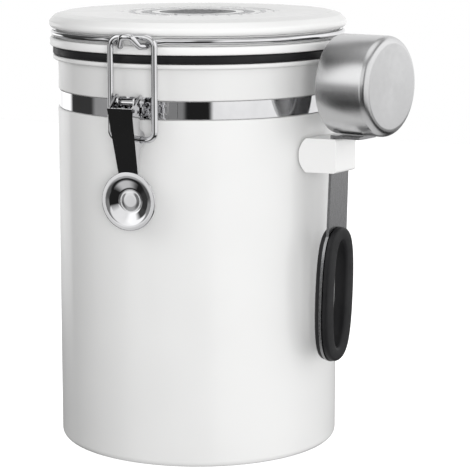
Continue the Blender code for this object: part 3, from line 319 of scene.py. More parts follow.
# Floor: half its width, how far it lies below the foot, and its look
FLOOR_HALF = 1.0
FLOOR_DROP = 0.0002
FLOOR_COLOR = (0.9, 0.9, 0.9)
FLOOR_ROUGHNESS = 0.6
FLOOR_GLOW = 0.8
# Soft lights: azimuth from the camera in degrees, height, distance, size and power
LIGHTS = (
    ("key", 6, 0.22, 1.4, 0.6, 8.4),
    ("side", -60, 0.4, 0.5, 0.4, 0.6),
)

# Places that several pieces share
COLLAR_RADIUS = BODY_RADIUS - COLLAR_INSET
MOUTH_RADIUS = COLLAR_RADIUS - BODY_WALL
GROOVE_RADIUS = BODY_RADIUS - GROOVE_DEPTH
GROOVE_TOP = RIM_HEIGHT - BEAD_HEIGHT - COLLAR_HEIGHT
GROOVE_FOOT = GROOVE_TOP - GROOVE_HEIGHT
BAND_OUTER = GROOVE_RADIUS + CLEARANCE + BAND_THICKNESS
PLATE_INNER = COLLAR_RADIUS + CLEARANCE
PLATE_OUTER = PLATE_INNER + SHEET
PLATE_FOOT = GROOVE_FOOT + BRACKET_LIFT
PLATE_TOP = PLATE_FOOT + BRACKET_HEIGHT
GASKET_FOOT = RIM_HEIGHT + CLEARANCE
GASKET_TOP = GASKET_FOOT + GASKET_HEIGHT
SHELF_FOOT = GASKET_TOP + CLEARANCE
SHELF_TOP = SHELF_FOOT + SHELF_HEIGHT
SHELF_RADIUS = BODY_RADIUS + SHELF_OVERHANG
NECK_RADIUS = SHELF_RADIUS - WIRE_GROOVE_DEPTH
CAP_FOOT = SHELF_TOP + WIRE_GROOVE_HEIGHT
CAP_TOP = CAP_FOOT + CAP_HEIGHT
CAP_RADIUS = BODY_RADIUS + CAP_OVERHANG
PLUG_RADIUS = MOUTH_RADIUS - PLUG_INSET
PLUG_FOOT = SHELF_FOOT - PLUG_DEPTH
RECESS_FLOOR = CAP_TOP - RECESS_DEPTH
DIAL_FOOT = RECESS_FLOOR + CLEARANCE
DAY_OUTER = RECESS_RADIUS - CLEARANCE
DAY_INNER = DAY_OUTER - DAY_DIAL_WIDTH
MONTH_OUTER = DAY_INNER - CLEARANCE
MONTH_INNER = MONTH_OUTER - MONTH_DIAL_WIDTH
HUB_RADIUS = MONTH_INNER - CLEARANCE
RING_HEIGHT = SHELF_TOP + WIRE_GROOVE_HEIGHT / 2
RING_RADIUS = NECK_RADIUS + CLEARANCE + WIRE_RADIUS
HINGE_PLACE = Vector((0, BODY_RADIUS + HINGE_REACH, RIM_HEIGHT - HINGE_DROP))
LEVER_PLACE = Vector((0, -BODY_RADIUS - LEVER_REACH, RIM_HEIGHT - LEVER_DROP))
LINK_PLACE = Vector((0, -BODY_RADIUS - LINK_REACH, LEVER_PLACE.z - LINK_DROP))
NOSE_SEAT = RING_HEIGHT + NOSE_SEAT_RISE
LINK_TOP = NOSE_SEAT + 2 * WIRE_RADIUS + CLEARANCE + LATCH_PLAY
TUBE_BORE = TUBE_RADIUS - TUBE_WALL
TUBE_FOOT = PLUG_FOOT - TUBE_BELOW_PLUG
SEAT_FOOT = PLUG_FOOT + SEAT_HEIGHT
SEAT_TOP = SEAT_FOOT + SEAT_THICKNESS
HOLDER_TOP = HOLDER_LOW + HOLDER_HEIGHT
TAB_FOOT = HOLDER_TOP + CLEARANCE
CUP_CENTRE = TAB_FOOT + TAB_THICKNESS + CLEARANCE + CUP_RADIUS
CUP_RIM = BODY_RADIUS + CUP_OUT
# Where the handle's outer face meets the tab, and the way from there to the middle of its sheet
HANDLE_TOP = Vector((0, -CUP_RIM, TAB_FOOT + TAB_THICKNESS))
HANDLE_INWARD = Vector((0, cos(HANDLE_LEAN), sin(HANDLE_LEAN))) * HANDLE_THICKNESS / 2
# How far the middle of the grip is below the tab, along the handle
OVAL_DROP = HANDLE_LENGTH - HANDLE_EDGE - GRIP_WIDTH - GRIP_HOLE_HALF_HEIGHT
PADDLE_DROP = LEVER_FACE_DROP + LEVER_LENGTH + PADDLE_RADIUS

# Turns that lay a flat outline or a turned shape against the can
SIDEWAYS = (pi / 2, 0, -pi / 2)
FACING = (pi / 2, 0, 0)
ALONG_X = (0, pi / 2, 0)
HANDLE_LAY = (pi / 2 + HANDLE_LEAN, 0, 0)

STEEL = "polished_steel"
BRUSHED = "brushed_steel"
WHITE_COAT = "white_coat"
WHITE_PLASTIC = "white_plastic"
GREY_PLASTIC = "grey_plastic"
DARK_PLASTIC = "dark_plastic"
BLACK_RUBBER = "black_silicone"
FOAM = "filter_felt"
# The handle strip's look is the brushed steel in a darker copy: painted shade, not a different metal
SHADED_STRIP = BRUSHED + ":strip"
INK = "ink"

BRUSHED_ROUND = (240, 4, (1, 1, 30))
BRUSHED_ALONG = (240, 4, (30, 30, 1))
# Looks: colour, roughness and metallic share. Then noise (waves per metre, detail, stretch) with
# what it blends between: two colours, two roughnesses, and the strength and depth of its bumps
LOOKS = {
    WHITE_COAT: (
        ((0.80, 0.80, 0.79), 0.34, 0.0), ((14,), (0.78, 0.78, 0.775), (0.81, 0.81, 0.805)),
        ((60,), 0.30, 0.38), ((1400, 2), 0.10, 0.00004),
    ),
    STEEL: (
        ((0.66, 0.66, 0.67), 0.10, 1.0), ((90,), (0.63, 0.63, 0.64), (0.69, 0.69, 0.70)),
        ((220, 5, (1, 1, 6)), 0.02, 0.06), ((2600, 2, (1, 1, 4)), 0.02, 0.00002),
    ),
    BRUSHED: (
        ((0.58, 0.58, 0.585), 0.30, 1.0), (BRUSHED_ROUND, (0.56, 0.56, 0.565), (0.60, 0.60, 0.605)),
        (BRUSHED_ROUND, 0.20, 0.26), (BRUSHED_ROUND, 0.04, 0.00003),
    ),
    # Painted shade: the same brushed steel as the cup, with its colour darkened
    SHADED_STRIP: (
        ((0.28, 0.28, 0.285), 0.26, 1.0), (BRUSHED_ALONG, (0.26, 0.26, 0.265), (0.31, 0.31, 0.315)),
        (BRUSHED_ALONG, 0.20, 0.32), (BRUSHED_ALONG, 0.12, 0.00005),
    ),
    WHITE_PLASTIC: (
        ((0.87, 0.87, 0.865), 0.24, 0.0), ((25,), (0.86, 0.86, 0.855), (0.88, 0.88, 0.875)),
        ((110,), 0.23, 0.26), ((900, 2), 0.015, 0.00002),
    ),
    GREY_PLASTIC: (
        ((0.42, 0.42, 0.43), 0.38, 0.0), ((120,), (0.40, 0.40, 0.41), (0.45, 0.45, 0.46)),
        ((300,), 0.32, 0.46), None,
    ),
    DARK_PLASTIC: (
        ((0.10, 0.10, 0.105), 0.42, 0.0), ((160,), (0.09, 0.09, 0.095), (0.12, 0.12, 0.125)),
        ((500,), 0.36, 0.50), None,
    ),
    BLACK_RUBBER: (
        ((0.010, 0.010, 0.011), 0.45, 0.0), ((70,), (0.008, 0.008, 0.009), (0.014, 0.014, 0.015)),
        ((260, 4), 0.38, 0.56), ((3200, 2), 0.15, 0.00005),
    ),
    FOAM: (
        ((0.78, 0.78, 0.76), 0.95, 0.0), ((1500,), (0.66, 0.66, 0.63), (0.84, 0.84, 0.82)),
        None, ((2600, 5), 0.6, 0.0002),
    ),
    INK: (((0.66, 0.66, 0.67), 0.5, 0.0), ((800,), (0.62, 0.62, 0.63), (0.70, 0.70, 0.71)), None, None),
}
LOOK_EXTRAS = (
    (WHITE_COAT, "Coat Weight", 0.45),
    (WHITE_COAT, "Coat Roughness", 0.10),
    (BRUSHED, "Anisotropic", 0.55),
    (BLACK_RUBBER, "Specular IOR Level", 0.25),
)
# Noise stays near its middle. These spans of it are spread over the colours and the roughness
TINT_SPAN = (0.35, 0.65)
VARY_SPAN = (0.3, 0.7)

# Objects that only help to shape the piece in work. dress deletes them
helpers = []
looks = {}


def new_object(name, data):
    obj = bpy.data.objects.new(name, data)
    bpy.context.scene.collection.objects.link(obj)
    return obj


def add_object(name, data, rotation=(0, 0, 0), location=(0, 0, 0)):
    obj = new_object(name.removesuffix(FINE) + FINE, data)
    obj.rotation_euler = rotation
    obj.location = location
    return obj


def add_carrier(name, rotation):
    """An empty that the scoop's pieces are shaped on, turned to their azimuth."""
    empty = new_object(name, None)
    empty.rotation_euler = rotation
    bpy.context.view_layer.update()
    return empty


def evaluated(obj):
    bpy.context.view_layer.update()
    graph = bpy.context.evaluated_depsgraph_get()
    return bpy.data.meshes.new_from_object(obj.evaluated_get(graph), depsgraph=graph)


def weld(mesh, flatten=False):
    """Joins doubled vertices, and with flatten also the triangles that share a plane."""
    work = bmesh.new()
    work.from_mesh(mesh)
    bmesh.ops.remove_doubles(work, verts=work.verts, dist=WELD_DISTANCE)
    if flatten:
        bmesh.ops.dissolve_limit(work, angle_limit=FLAT_ANGLE, verts=work.verts, edges=work.edges)
    bmesh.ops.recalc_face_normals(work, faces=work.faces)
    work.to_mesh(mesh)
    work.free()


def new_mesh(name, work):
    mesh = bpy.data.meshes.new(name)
    work.to_mesh(mesh)
    work.free()
    return mesh


def baked(obj):
    """The evaluated shape as a plain welded mesh, in the object's place."""
    mesh = evaluated(obj)
    weld(mesh)
    name = obj.name
    rotation = obj.rotation_euler.copy()
    location = obj.location.copy()
    bpy.data.objects.remove(obj, do_unlink=True)
    mesh.name = name
    return add_object(name, mesh, rotation, location)


def dress(obj, look, body="can", edge=0.0, upright=True):
    """Finishes a piece: its shape with rounded edges, its material, and the body that it rides on."""
    name = obj.name
    mesh = evaluated(obj)
    weld(mesh, edge > 0)
    place = obj.matrix_world.copy()
    bpy.data.objects.remove(obj, do_unlink=True)
    for helper in helpers:
        bpy.data.objects.remove(helper, do_unlink=True)
    helpers.clear()
    piece = new_object(name, mesh)
    if upright:
        mesh.transform(place)
    else:
        piece.matrix_world = place
    if edge > 0:
        bevel = piece.modifiers.new("edges", "BEVEL")
        bevel.width = edge
        bevel.segments = EDGE_SEGMENTS
        bevel.limit_method = "ANGLE"
        bevel.angle_limit = SHARP_ANGLE
        mesh = evaluated(piece)
        piece.modifiers.clear()
        piece.data = mesh
    mesh.shade_smooth()
    mesh.set_sharp_from_angle(angle=SHARP_ANGLE)
    if edge > 0:
        normals = piece.modifiers.new("normals", "WEIGHTED_NORMAL")
        normals.keep_sharp = True
    mesh.materials.clear()
    mesh.materials.append(looks[look])
    mesh.name = name
    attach(piece, body)
    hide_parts(name.removesuffix(FINE))


def boolean(target, others, operation):
    for other in others:
        modifier = target.modifiers.new(other.name, "BOOLEAN")
        modifier.operation = operation
        modifier.solver = "EXACT"
        modifier.object = other
        helpers.append(other)


def join(target, *others):
    boolean(target, others, "UNION")


def cut(target, *others):
    boolean(target, others, "DIFFERENCE")


def fillet(points, closed=False):
    """The corners (place, radius) of a path, each rounded by an arc that its sides limit."""
    rounded = []
    count = len(points)
    for index, (corner, radius) in enumerate(points):
        corner = Vector(corner)
        if radius == 0 or (not closed and index in (0, count - 1)):
            rounded.append(corner)
            continue
        before = Vector(points[index - 1][0]) - corner
        after = Vector(points[(index + 1) % count][0]) - corner
        angle = before.angle(after)
        reach = min(radius / tan(angle / 2), FILLET_SHARE * before.length, FILLET_SHARE * after.length)
        radius = reach * tan(angle / 2)
        before.normalize()
        after.normalize()
        centre = corner + (before + after).normalized() * radius / sin(angle / 2)
        start = corner + before * reach - centre
        end = corner + after * reach - centre
        turn = pi - angle
        steps = max(LEAST_FILLET_STEPS, round(turn * radius / FILLET_LENGTH))
        for step in range(steps + 1):
            share = step / steps
            blend = start * sin((1 - share) * turn) + end * sin(share * turn)
            rounded.append(centre + blend / sin(turn))
    return rounded


def outline(points):
    """Corners (across, up, rounding) of a closed flat outline in the XY plane."""
    return fillet([((across, up, 0), rounding) for across, up, rounding in points], True)


def turned(name, corners, closed=False, steps=ROUND_STEPS, *place):
    """Corners (radius, height, rounding) turned about Z. They run down the outer side."""
    places = fillet([((out, 0, height), rounding) for out, height, rounding in corners], closed)
    edges = [(index, index + 1) for index in range(len(places) - 1)]
    if closed:
        edges.append((len(places) - 1, 0))
    mesh = bpy.data.meshes.new(name)
    mesh.from_pydata(places, edges, [])
    obj = add_object(name, mesh, *place)
    screw = obj.modifiers.new("turn", "SCREW")
    screw.steps = steps
    screw.render_steps = steps
    screw.use_merge_vertices = True
    screw.merge_threshold = MERGE_DISTANCE
    return baked(obj)


def ring(name, inner, outer, low, high, rounding=0.0):
    corners = [(inner, high, 0), (outer, high, rounding), (outer, low, rounding), (inner, low, 0)]
    return turned(name, corners, True)


def disc(name, radius, low, high, steps=ROUND_STEPS):
    return turned(name, [(0, high, 0), (radius, high, 0), (radius, low, 0), (0, low, 0)], False, steps)


def new_curve(name, dimensions, lines, closed=True):
    curve = bpy.data.curves.new(name, "CURVE")
    curve.dimensions = dimensions
    for places in lines:
        spline = curve.splines.new("POLY")
        spline.points.add(len(places) - 1)
        for point, place in zip(spline.points, places):
            point.co = (*place, 1)
        spline.use_cyclic_u = closed
    return curve


def plate(name, outlines, thickness, *place):
    """A flat sheet, centred on its own plane. A second outline is a hole."""
    curve = new_curve(name, "2D", outlines)
    curve.fill_mode = "BOTH"
    curve.extrude = thickness / 2
    return baked(add_object(name, curve, *place))


def bent_wire(name, places, closed=False):
    curve = new_curve(name, "3D", [places], closed)
    curve.bevel_depth = WIRE_RADIUS
    curve.bevel_resolution = WIRE_STEPS
    curve.use_fill_caps = True
    return baked(add_object(name, curve))


def box(name, low, high, *place):
    """A box between two corners, before it is turned and moved."""
    low = Vector(low)
    high = Vector(high)
    work = bmesh.new()
    bmesh.ops.create_cube(work, size=1)
    bmesh.ops.scale(work, vec=high - low, verts=work.verts)
    bmesh.ops.translate(work, vec=(low + high) / 2, verts=work.verts)
    return add_object(name, new_mesh(name, work), *place)


def rods(name, moves, radius, length, *place, steps=PIN_STEPS):
    """Equal cylinders along Z in one object, each moved to its place or by its matrix."""
    work = bmesh.new()
    for move in moves:
        bmesh.ops.create_cone(
            work,
            cap_ends=True,
            segments=steps,
            radius1=radius,
            radius2=radius,
            depth=length,
            matrix=move if isinstance(move, Matrix) else Matrix.Translation(move),
        )
    return add_object(name, new_mesh(name, work), *place)


def bar(name, radius, length, place, steps=PIN_STEPS):
    """A cylinder along X, centred on its place."""
    return rods(name, [(0, 0, 0)], radius, length, ALONG_X, place, steps=steps)


def rotation(angle, axis):
    return Matrix.Rotation(angle, 4, axis)


def radial_rods(name, places, radius, start, end):
    """Cylinders that stand out from the can's axis, between two distances from it."""
    lay = rotation(pi / 2, "X")
    moves = []
    for azimuth, height in places:
        out = Matrix.Translation((0, -(start + end) / 2, height))
        moves.append(rotation(azimuth, "Z") @ (out @ lay))
    return rods(name, moves, radius, end - start)


def around(radius, azimuth, height=0):
    """A place at an azimuth from the front."""
    return (radius * sin(azimuth), -radius * cos(azimuth), height)


def on_circle(count, radius, height, start=0.0):
    """Places that are spread evenly round Z."""
    turn = 2 * pi / count
    return [around(radius, start + index * turn, height) for index in range(count)]


def spread(first, last, steps):
    return [first + (last - first) * step / steps for step in range(steps + 1)]


def sector(name, inner, outer, start, end, low, high, middle=0.0):
    """A plate bent round the can between two places across the front, then turned to its azimuth."""
    angles = spread(asin(start / inner), asin(end / inner), SECTOR_STEPS)
    places = [around(outer, angle) for angle in angles]
    places += [around(inner, angle) for angle in reversed(angles)]
    return plate(name, [places], high - low, (0, 0, middle), (0, 0, (low + high) / 2))


def make_can_shell():
    inner = BODY_RADIUS - BODY_WALL
    waist = GROOVE_RADIUS - BODY_WALL
    bead = COLLAR_RADIUS + BEAD_OVERHANG
    bead_foot = RIM_HEIGHT - BEAD_HEIGHT
    corners = [
        (0, BASE_THICKNESS, 0),
        (inner, BASE_THICKNESS, BASE_CORNER - BODY_WALL),
        (inner, GROOVE_FOOT - BODY_WALL, GROOVE_BLEND),
        (waist, GROOVE_FOOT - BODY_WALL, GROOVE_BLEND),
        (waist, GROOVE_TOP + BODY_WALL, GROOVE_BLEND),
        (MOUTH_RADIUS, GROOVE_TOP + BODY_WALL, GROOVE_BLEND),
        (MOUTH_RADIUS, RIM_HEIGHT, BEAD_ROUND),
        (bead, RIM_HEIGHT, BEAD_ROUND),
        (bead, bead_foot, BEAD_ROUND),
        (COLLAR_RADIUS, bead_foot, GROOVE_BLEND),
        (COLLAR_RADIUS, GROOVE_TOP, GROOVE_BLEND),
        (GROOVE_RADIUS, GROOVE_TOP, GROOVE_BLEND),
        (GROOVE_RADIUS, GROOVE_FOOT, GROOVE_BLEND),
        (BODY_RADIUS, GROOVE_FOOT, GROOVE_BLEND),
        (BODY_RADIUS, 0, BASE_CORNER),
        (0, 0, 0),
    ]
    dress(turned("can_shell", corners), WHITE_COAT)


def make_neck_band():
    inner = GROOVE_RADIUS + CLEARANCE
    low = GROOVE_FOOT + CLEARANCE
    high = GROOVE_TOP - CLEARANCE
    dress(ring("neck_band", inner, BAND_OUTER, low, high), STEEL)


def make_band_clip():
    """The clip's folded plate with four pressed bumps, and the band's end that leaves it."""
    inner = BAND_OUTER + CLEARANCE
    outer = inner + CLIP_THICKNESS
    low = GROOVE_FOOT + CLEARANCE + BRACKET_LIFT
    high = GROOVE_TOP - CLEARANCE
    end = CLIP_START + CLIP_WIDTH
    clip = sector("band_clip", inner, outer, CLIP_START, end, low, high)
    tongue_end = end + CLIP_TONGUE_WIDTH
    tongue_outer = inner + CLIP_TONGUE_THICKNESS
    start = end - CLIP_TONGUE_THICKNESS
    tongue = sector("clip_tongue", inner, tongue_outer, start, tongue_end, low, high)
    azimuth = asin((CLIP_START + CLIP_WIDTH / 2) / outer)
    side = CLIP_WIDTH / 4
    rise = (high - low) / 4
    middle = (low + high) / 2
    places = [(x * side, middle + z * rise, 0) for x in (-1, 1) for z in (-1, 1)]
    length = CLIP_THICKNESS + 2 * CLIP_BUMP_HEIGHT
    bumps = rods("clip_bumps", places, CLIP_BUMP_RADIUS, length, (pi / 2, 0, azimuth))
    bumps.location = around(outer, azimuth)
    join(clip, tongue, bumps)
    cut(clip, disc("clip_trim", inner, low, high))
    dress(clip, STEEL, edge=SHEET_EDGE)


def make_bracket_ear(name, side):
    """One upright ear of the latch bracket, out to the lever's pin."""
    pivot_out = -LEVER_PLACE.y
    nose_out = pivot_out + EAR_NOSE_RADIUS
    root = PLATE_INNER + SHEET / 2
    corners = [
        (root, PLATE_TOP - EAR_FOOT, 0),
        (pivot_out, LEVER_PLACE.z + EAR_NOSE_RADIUS, EAR_NOSE_RADIUS),
        (nose_out, LEVER_PLACE.z + EAR_NOSE_RADIUS, EAR_NOSE_RADIUS),
        (nose_out, LEVER_PLACE.z - EAR_NOSE_RADIUS, EAR_NOSE_RADIUS),
        (root, PLATE_FOOT + EAR_FOOT, 0),
    ]
    across = side * (EAR_INNER_HALF_WIDTH + SHEET / 2)
    return plate(name, [outline(corners)], SHEET, SIDEWAYS, (across, 0, 0))


def rivet_places(half_width, middle):
    """Azimuths and heights of a bracket plate's four rivets."""
    azimuth = asin((half_width - RIVET_EDGE) / PLATE_OUTER)
    heights = (PLATE_FOOT + RIVET_EDGE, GROOVE_TOP - RIVET_EDGE)
    return [(middle + side * azimuth, height) for side in (-1, 1) for height in heights]


def rivet_holes(name, places):
    radius = RIVET_RADIUS + CLEARANCE
    return radial_rods(name, places, radius, PLATE_INNER - OVERRUN, PLATE_OUTER + OVERRUN)


def make_rivets(name, places):
    """Rivets from the neck band through the plate, with their heads outside."""
    shank = BAND_OUTER + CLEARANCE
    head = PLATE_OUTER + CLEARANCE
    for index, place in enumerate(places, 1):
        rivet = radial_rods(f"{name}_{index}", [place], RIVET_RADIUS, shank, head + CLEARANCE)
        top = radial_rods(f"{name}_{index}_head", [place], RIVET_HEAD_RADIUS, head, head + RIVET_HEAD_HEIGHT)
        join(rivet, top)
        dress(rivet, STEEL, edge=SHEET_EDGE)


def make_latch_bracket(places):
    half = BRACKET_HALF_WIDTH
    bracket = sector("latch_bracket", PLATE_INNER, PLATE_OUTER, -half, half, PLATE_FOOT, PLATE_TOP)
    join(bracket, make_bracket_ear("left_ear", -1), make_bracket_ear("right_ear", 1))
    width = 2 * (EAR_INNER_HALF_WIDTH + SHEET + OVERRUN)
    bore = bar("ear_bore", PIN_RADIUS + CLEARANCE, width, LEVER_PLACE)
    cut(bracket, bore, rivet_holes("bracket_holes", places))
    dress(bracket, STEEL, edge=SHEET_EDGE)


def make_lever_pin():
    """The pin through the bracket's ears and the lever's sides, with a head at each end."""
    head = LEVER_TOP_HALF_WIDTH + CLEARANCE
    end = head + PIN_HEAD_HEIGHT
    pin = bar("lever_pin", PIN_RADIUS, 2 * head + PIN_HEAD_HEIGHT, LEVER_PLACE)
    places = [(0, 0, side * (head + end) / 2) for side in (-1, 1)]
    join(pin, rods("pin_heads", places, PIN_HEAD_RADIUS, PIN_HEAD_HEIGHT, ALONG_X, LEVER_PLACE))
    dress(pin, STEEL, edge=SHEET_EDGE)


def make_lever_flange(name, side):
    """One side of the lever's channel. Its places are out and up from the lever's pin."""
    link_back = LEVER_REACH - LINK_REACH
    lobe = WIRE_RADIUS + CLEARANCE + FLANGE_LOBE_WALL
    back = -(PIN_RADIUS + CLEARANCE + FLANGE_HOLE_WALL)
    foot = -LEVER_FACE_DROP - LEVER_LENGTH - LEVER_LAP / 2
    corners = [
        (LEVER_FACE_OUT - SHEET, -LEVER_FACE_DROP, 0),
        (-FLANGE_TIP_BACK, FLANGE_TIP_RISE, FLANGE_TIP_ROUND),
        (back, -back / 2, FLANGE_ROUND),
        (back, back, FLANGE_ROUND),
        (0, -FLANGE_WAIST_TOP, FLANGE_ROUND),
        (0, -FLANGE_WAIST_FOOT, FLANGE_ROUND),
        (-link_back - lobe, -LINK_DROP + lobe - FLANGE_LOBE_LAP / 2, lobe),
        (-link_back - lobe, -LINK_DROP - lobe + FLANGE_LOBE_LAP / 4, lobe),
        (-FLANGE_FOOT_BACK, -LINK_DROP - lobe - FLANGE_LOBE_LAP, FLANGE_ROUND),
        (-FLANGE_FOOT_BACK, foot, FLANGE_TIP_ROUND),
        (LEVER_FOOT_OUT - SHEET / 2, foot, 0),
    ]
    taper = atan((LEVER_TOP_HALF_WIDTH - LEVER_FOOT_HALF_WIDTH) / LEVER_LENGTH)
    flange = plate(name, [outline(corners)], SHEET, SIDEWAYS)
    turn = Matrix.Rotation(side * taper, 3, "Y") @ flange.rotation_euler.to_matrix()
    flange.rotation_euler = turn.to_euler()
    flange.location = LEVER_PLACE + Vector((side * (LEVER_TOP_HALF_WIDTH - SHEET / 2), 0, 0))
    return flange


def make_lever_face():
    """The lever's front sheet, which leans in towards the paddle."""
    lean = atan((LEVER_FACE_OUT - LEVER_FOOT_OUT) / LEVER_LENGTH)
    length = LEVER_LENGTH / cos(lean)
    lap = LEVER_LAP / cos(lean)
    foot = LEVER_FOOT_HALF_WIDTH - (LEVER_TOP_HALF_WIDTH - LEVER_FOOT_HALF_WIDTH) * lap / length
    corners = [
        (-LEVER_TOP_HALF_WIDTH, 0, 0),
        (-foot, -length - lap, 0),
        (foot, -length - lap, 0),
        (LEVER_TOP_HALF_WIDTH, 0, 0),
    ]
    top = LEVER_PLACE + Vector((0, -LEVER_FACE_OUT, -LEVER_FACE_DROP))
    inward = Vector((0, cos(lean), sin(lean))) * SHEET / 2
    return plate("latch_lever", [outline(corners)], SHEET, (pi / 2 + lean, 0, 0), top + inward)


def make_paddle():
    """The round thumb paddle, with a pressed dish, facing out."""
    corners = [
        (0, SHEET - DISH_DEPTH + DISH_DOME, 0),
        (DISH_DOME_RADIUS, SHEET - DISH_DEPTH + DISH_DOME, DISH_DOME_ROUND),
        (DISH_FLOOR_RADIUS, SHEET - DISH_DEPTH, DISH_ROUND),
        (DISH_RADIUS, SHEET, DISH_ROUND),
        (PADDLE_RADIUS, SHEET, SHEET / 2),
        (PADDLE_RADIUS, 0, SHEET / 2),
        (DISH_RADIUS, 0, DISH_ROUND),
        (DISH_FLOOR_RADIUS, -DISH_DEPTH, DISH_ROUND),
        (DISH_DOME_RADIUS, DISH_DOME - DISH_DEPTH, DISH_DOME_ROUND),
        (0, DISH_DOME - DISH_DEPTH, 0),
    ]
    place = LEVER_PLACE + Vector((0, SHEET - PADDLE_OUT, -PADDLE_DROP))
    return turned("lever_paddle", corners, False, DISC_STEPS, FACING, place)


def make_latch_lever():
    lever = make_lever_face()
    join(lever, make_lever_flange("left_flange", -1), make_lever_flange("right_flange", 1), make_paddle())
    width = 2 * (LEVER_TOP_HALF_WIDTH + OVERRUN)
    pin_bore = bar("flange_pin_bore", PIN_RADIUS + CLEARANCE, width, LEVER_PLACE)
    link_bore = bar("flange_link_bore", WIRE_RADIUS + CLEARANCE, width, LINK_PLACE)
    cut(lever, pin_bore, link_bore)
    dress(lever, STEEL, "lever", LEVER_EDGE)


def make_link_wire():
    left = LATCH_OFFSET - LINK_HALF_WIDTH
    right = LATCH_OFFSET + LINK_HALF_WIDTH
    corners = [
        ((left, LINK_PLACE.y, LINK_PLACE.z), LINK_FOOT_ROUND),
        ((right, LINK_PLACE.y, LINK_PLACE.z), LINK_FOOT_ROUND),
        ((right, LINK_PLACE.y, LINK_TOP), LINK_TOP_ROUND),
        ((left, LINK_PLACE.y, LINK_TOP), LINK_TOP_ROUND),
    ]
    dress(bent_wire("link_wire", fillet(corners, True), True), STEEL, "link")


def ring_arc(first, last):
    """Places on the lid's wire ring between two azimuths."""
    steps = max(1, round(abs(last - first) / RING_STEP))
    return [around(RING_RADIUS, angle, RING_HEIGHT) for angle in spread(first, last, steps)]


def hinge_leg(side, across):
    """From the hinge's barrel up to the ring: a stub, a leg and the turn onto the ring."""
    ring_back = sqrt(RING_RADIUS**2 - across**2)
    return [
        (HINGE_PLACE + Vector((side * STUB_END, 0, 0)), 0),
        (HINGE_PLACE + Vector((side * across, 0, 0)), LEG_ROUND),
        (Vector((side * across, HINGE_PLACE.y, RING_HEIGHT)), LEG_ROUND),
        (Vector((side * across, ring_back, RING_HEIGHT)), LEG_ROUND),
    ]


def make_lid_wire():
    """The ring, whose ends bend down into the hinge, with the nose bent out at the front."""
    across = KNUCKLE_HALF_LENGTH + CLEARANCE + WIRE_RADIUS
    leg_azimuth = pi - asin(across / RING_RADIUS)
    left = asin((LATCH_OFFSET - NOSE_HALF_WIDTH) / RING_RADIUS)
    right = asin((LATCH_OFFSET + NOSE_HALF_WIDTH) / RING_RADIUS)
    nose = [(aside, BODY_RADIUS + out, RING_HEIGHT + rise) for aside, out, rise in NOSE_HALF]
    path = hinge_leg(-1, across)
    path += [(place, 0) for place in ring_arc(-leg_azimuth, left)[1:]]
    path += [((LATCH_OFFSET - aside, -out, up), NOSE_ROUND) for aside, out, up in nose]
    path += [((LATCH_OFFSET + aside, -out, up), NOSE_ROUND) for aside, out, up in reversed(nose)]
    path += [(place, 0) for place in ring_arc(right, leg_azimuth)[:-1]]
    path += reversed(hinge_leg(1, across))
    dress(bent_wire("lid_wire", fillet(path)), STEEL, "lid")


def make_hinge_bracket(places):
    """A plate on the band with a rolled knuckle for the lid wire's two stubs."""
    half = HINGE_PLATE_HALF_WIDTH
    size = (PLATE_INNER, PLATE_OUTER, -half, half, PLATE_FOOT, PLATE_TOP)
    bracket = sector("hinge_bracket", *size, middle=pi)
    bore = WIRE_RADIUS + CLEARANCE
    outer = bore + KNUCKLE_WALL
    length = 2 * KNUCKLE_HALF_LENGTH
    barrel = bar("hinge_barrel", outer, length, HINGE_PLACE, DISC_STEPS)
    low = (-KNUCKLE_HALF_LENGTH, PLATE_INNER + SHEET / 4, HINGE_PLACE.z - outer)
    high = (KNUCKLE_HALF_LENGTH, HINGE_PLACE.y, HINGE_PLACE.z - bore)
    join(bracket, box("hinge_web", low, high), barrel)
    hole = bar("hinge_bore", bore, length + 2 * OVERRUN, HINGE_PLACE, DISC_STEPS)
    cut(bracket, hole, rivet_holes("hinge_holes", places))
    dress(bracket, STEEL, edge=SHEET_EDGE)


def make_gasket():
    inner = PLUG_RADIUS + CLEARANCE
    outer = BODY_RADIUS + GASKET_OVERHANG
    gasket = ring("lid_gasket", inner, outer, GASKET_FOOT, GASKET_TOP, GASKET_ROUND)
    dress(gasket, BLACK_RUBBER, "lid")


def make_lid_base():
    """The lid's lower moulding: a shelf, the wire's groove and a plug inside the mouth."""
    wall_top = CAP_FOOT - CLEARANCE
    neck_inner = NECK_RADIUS - LID_WALL
    plug_inner = PLUG_RADIUS - LID_WALL
    bore = TUBE_RADIUS + CLEARANCE
    corners = [
        (NECK_RADIUS, wall_top, 0),
        (NECK_RADIUS, SHELF_TOP, LID_EDGE),
        (SHELF_RADIUS, SHELF_TOP, SHELF_ROUND),
        (SHELF_RADIUS, SHELF_FOOT, SHELF_ROUND),
        (PLUG_RADIUS, SHELF_FOOT, LID_EDGE),
        (PLUG_RADIUS, PLUG_FOOT, SHELF_ROUND),
        (bore, PLUG_FOOT, 0),
        (bore, PLUG_FOOT + LID_WALL, 0),
        (plug_inner, PLUG_FOOT + LID_WALL, 0),
        (plug_inner, SHELF_FOOT + LID_WALL, 0),
        (neck_inner, SHELF_FOOT + LID_WALL, 0),
        (neck_inner, wall_top, 0),
    ]
    dress(turned("lid_base", corners, True), WHITE_PLASTIC, "lid")


def index_places():
    return on_circle(2, RECESS_RADIUS + INDEX_EDGE, CAP_TOP, INDEX_AZIMUTH)


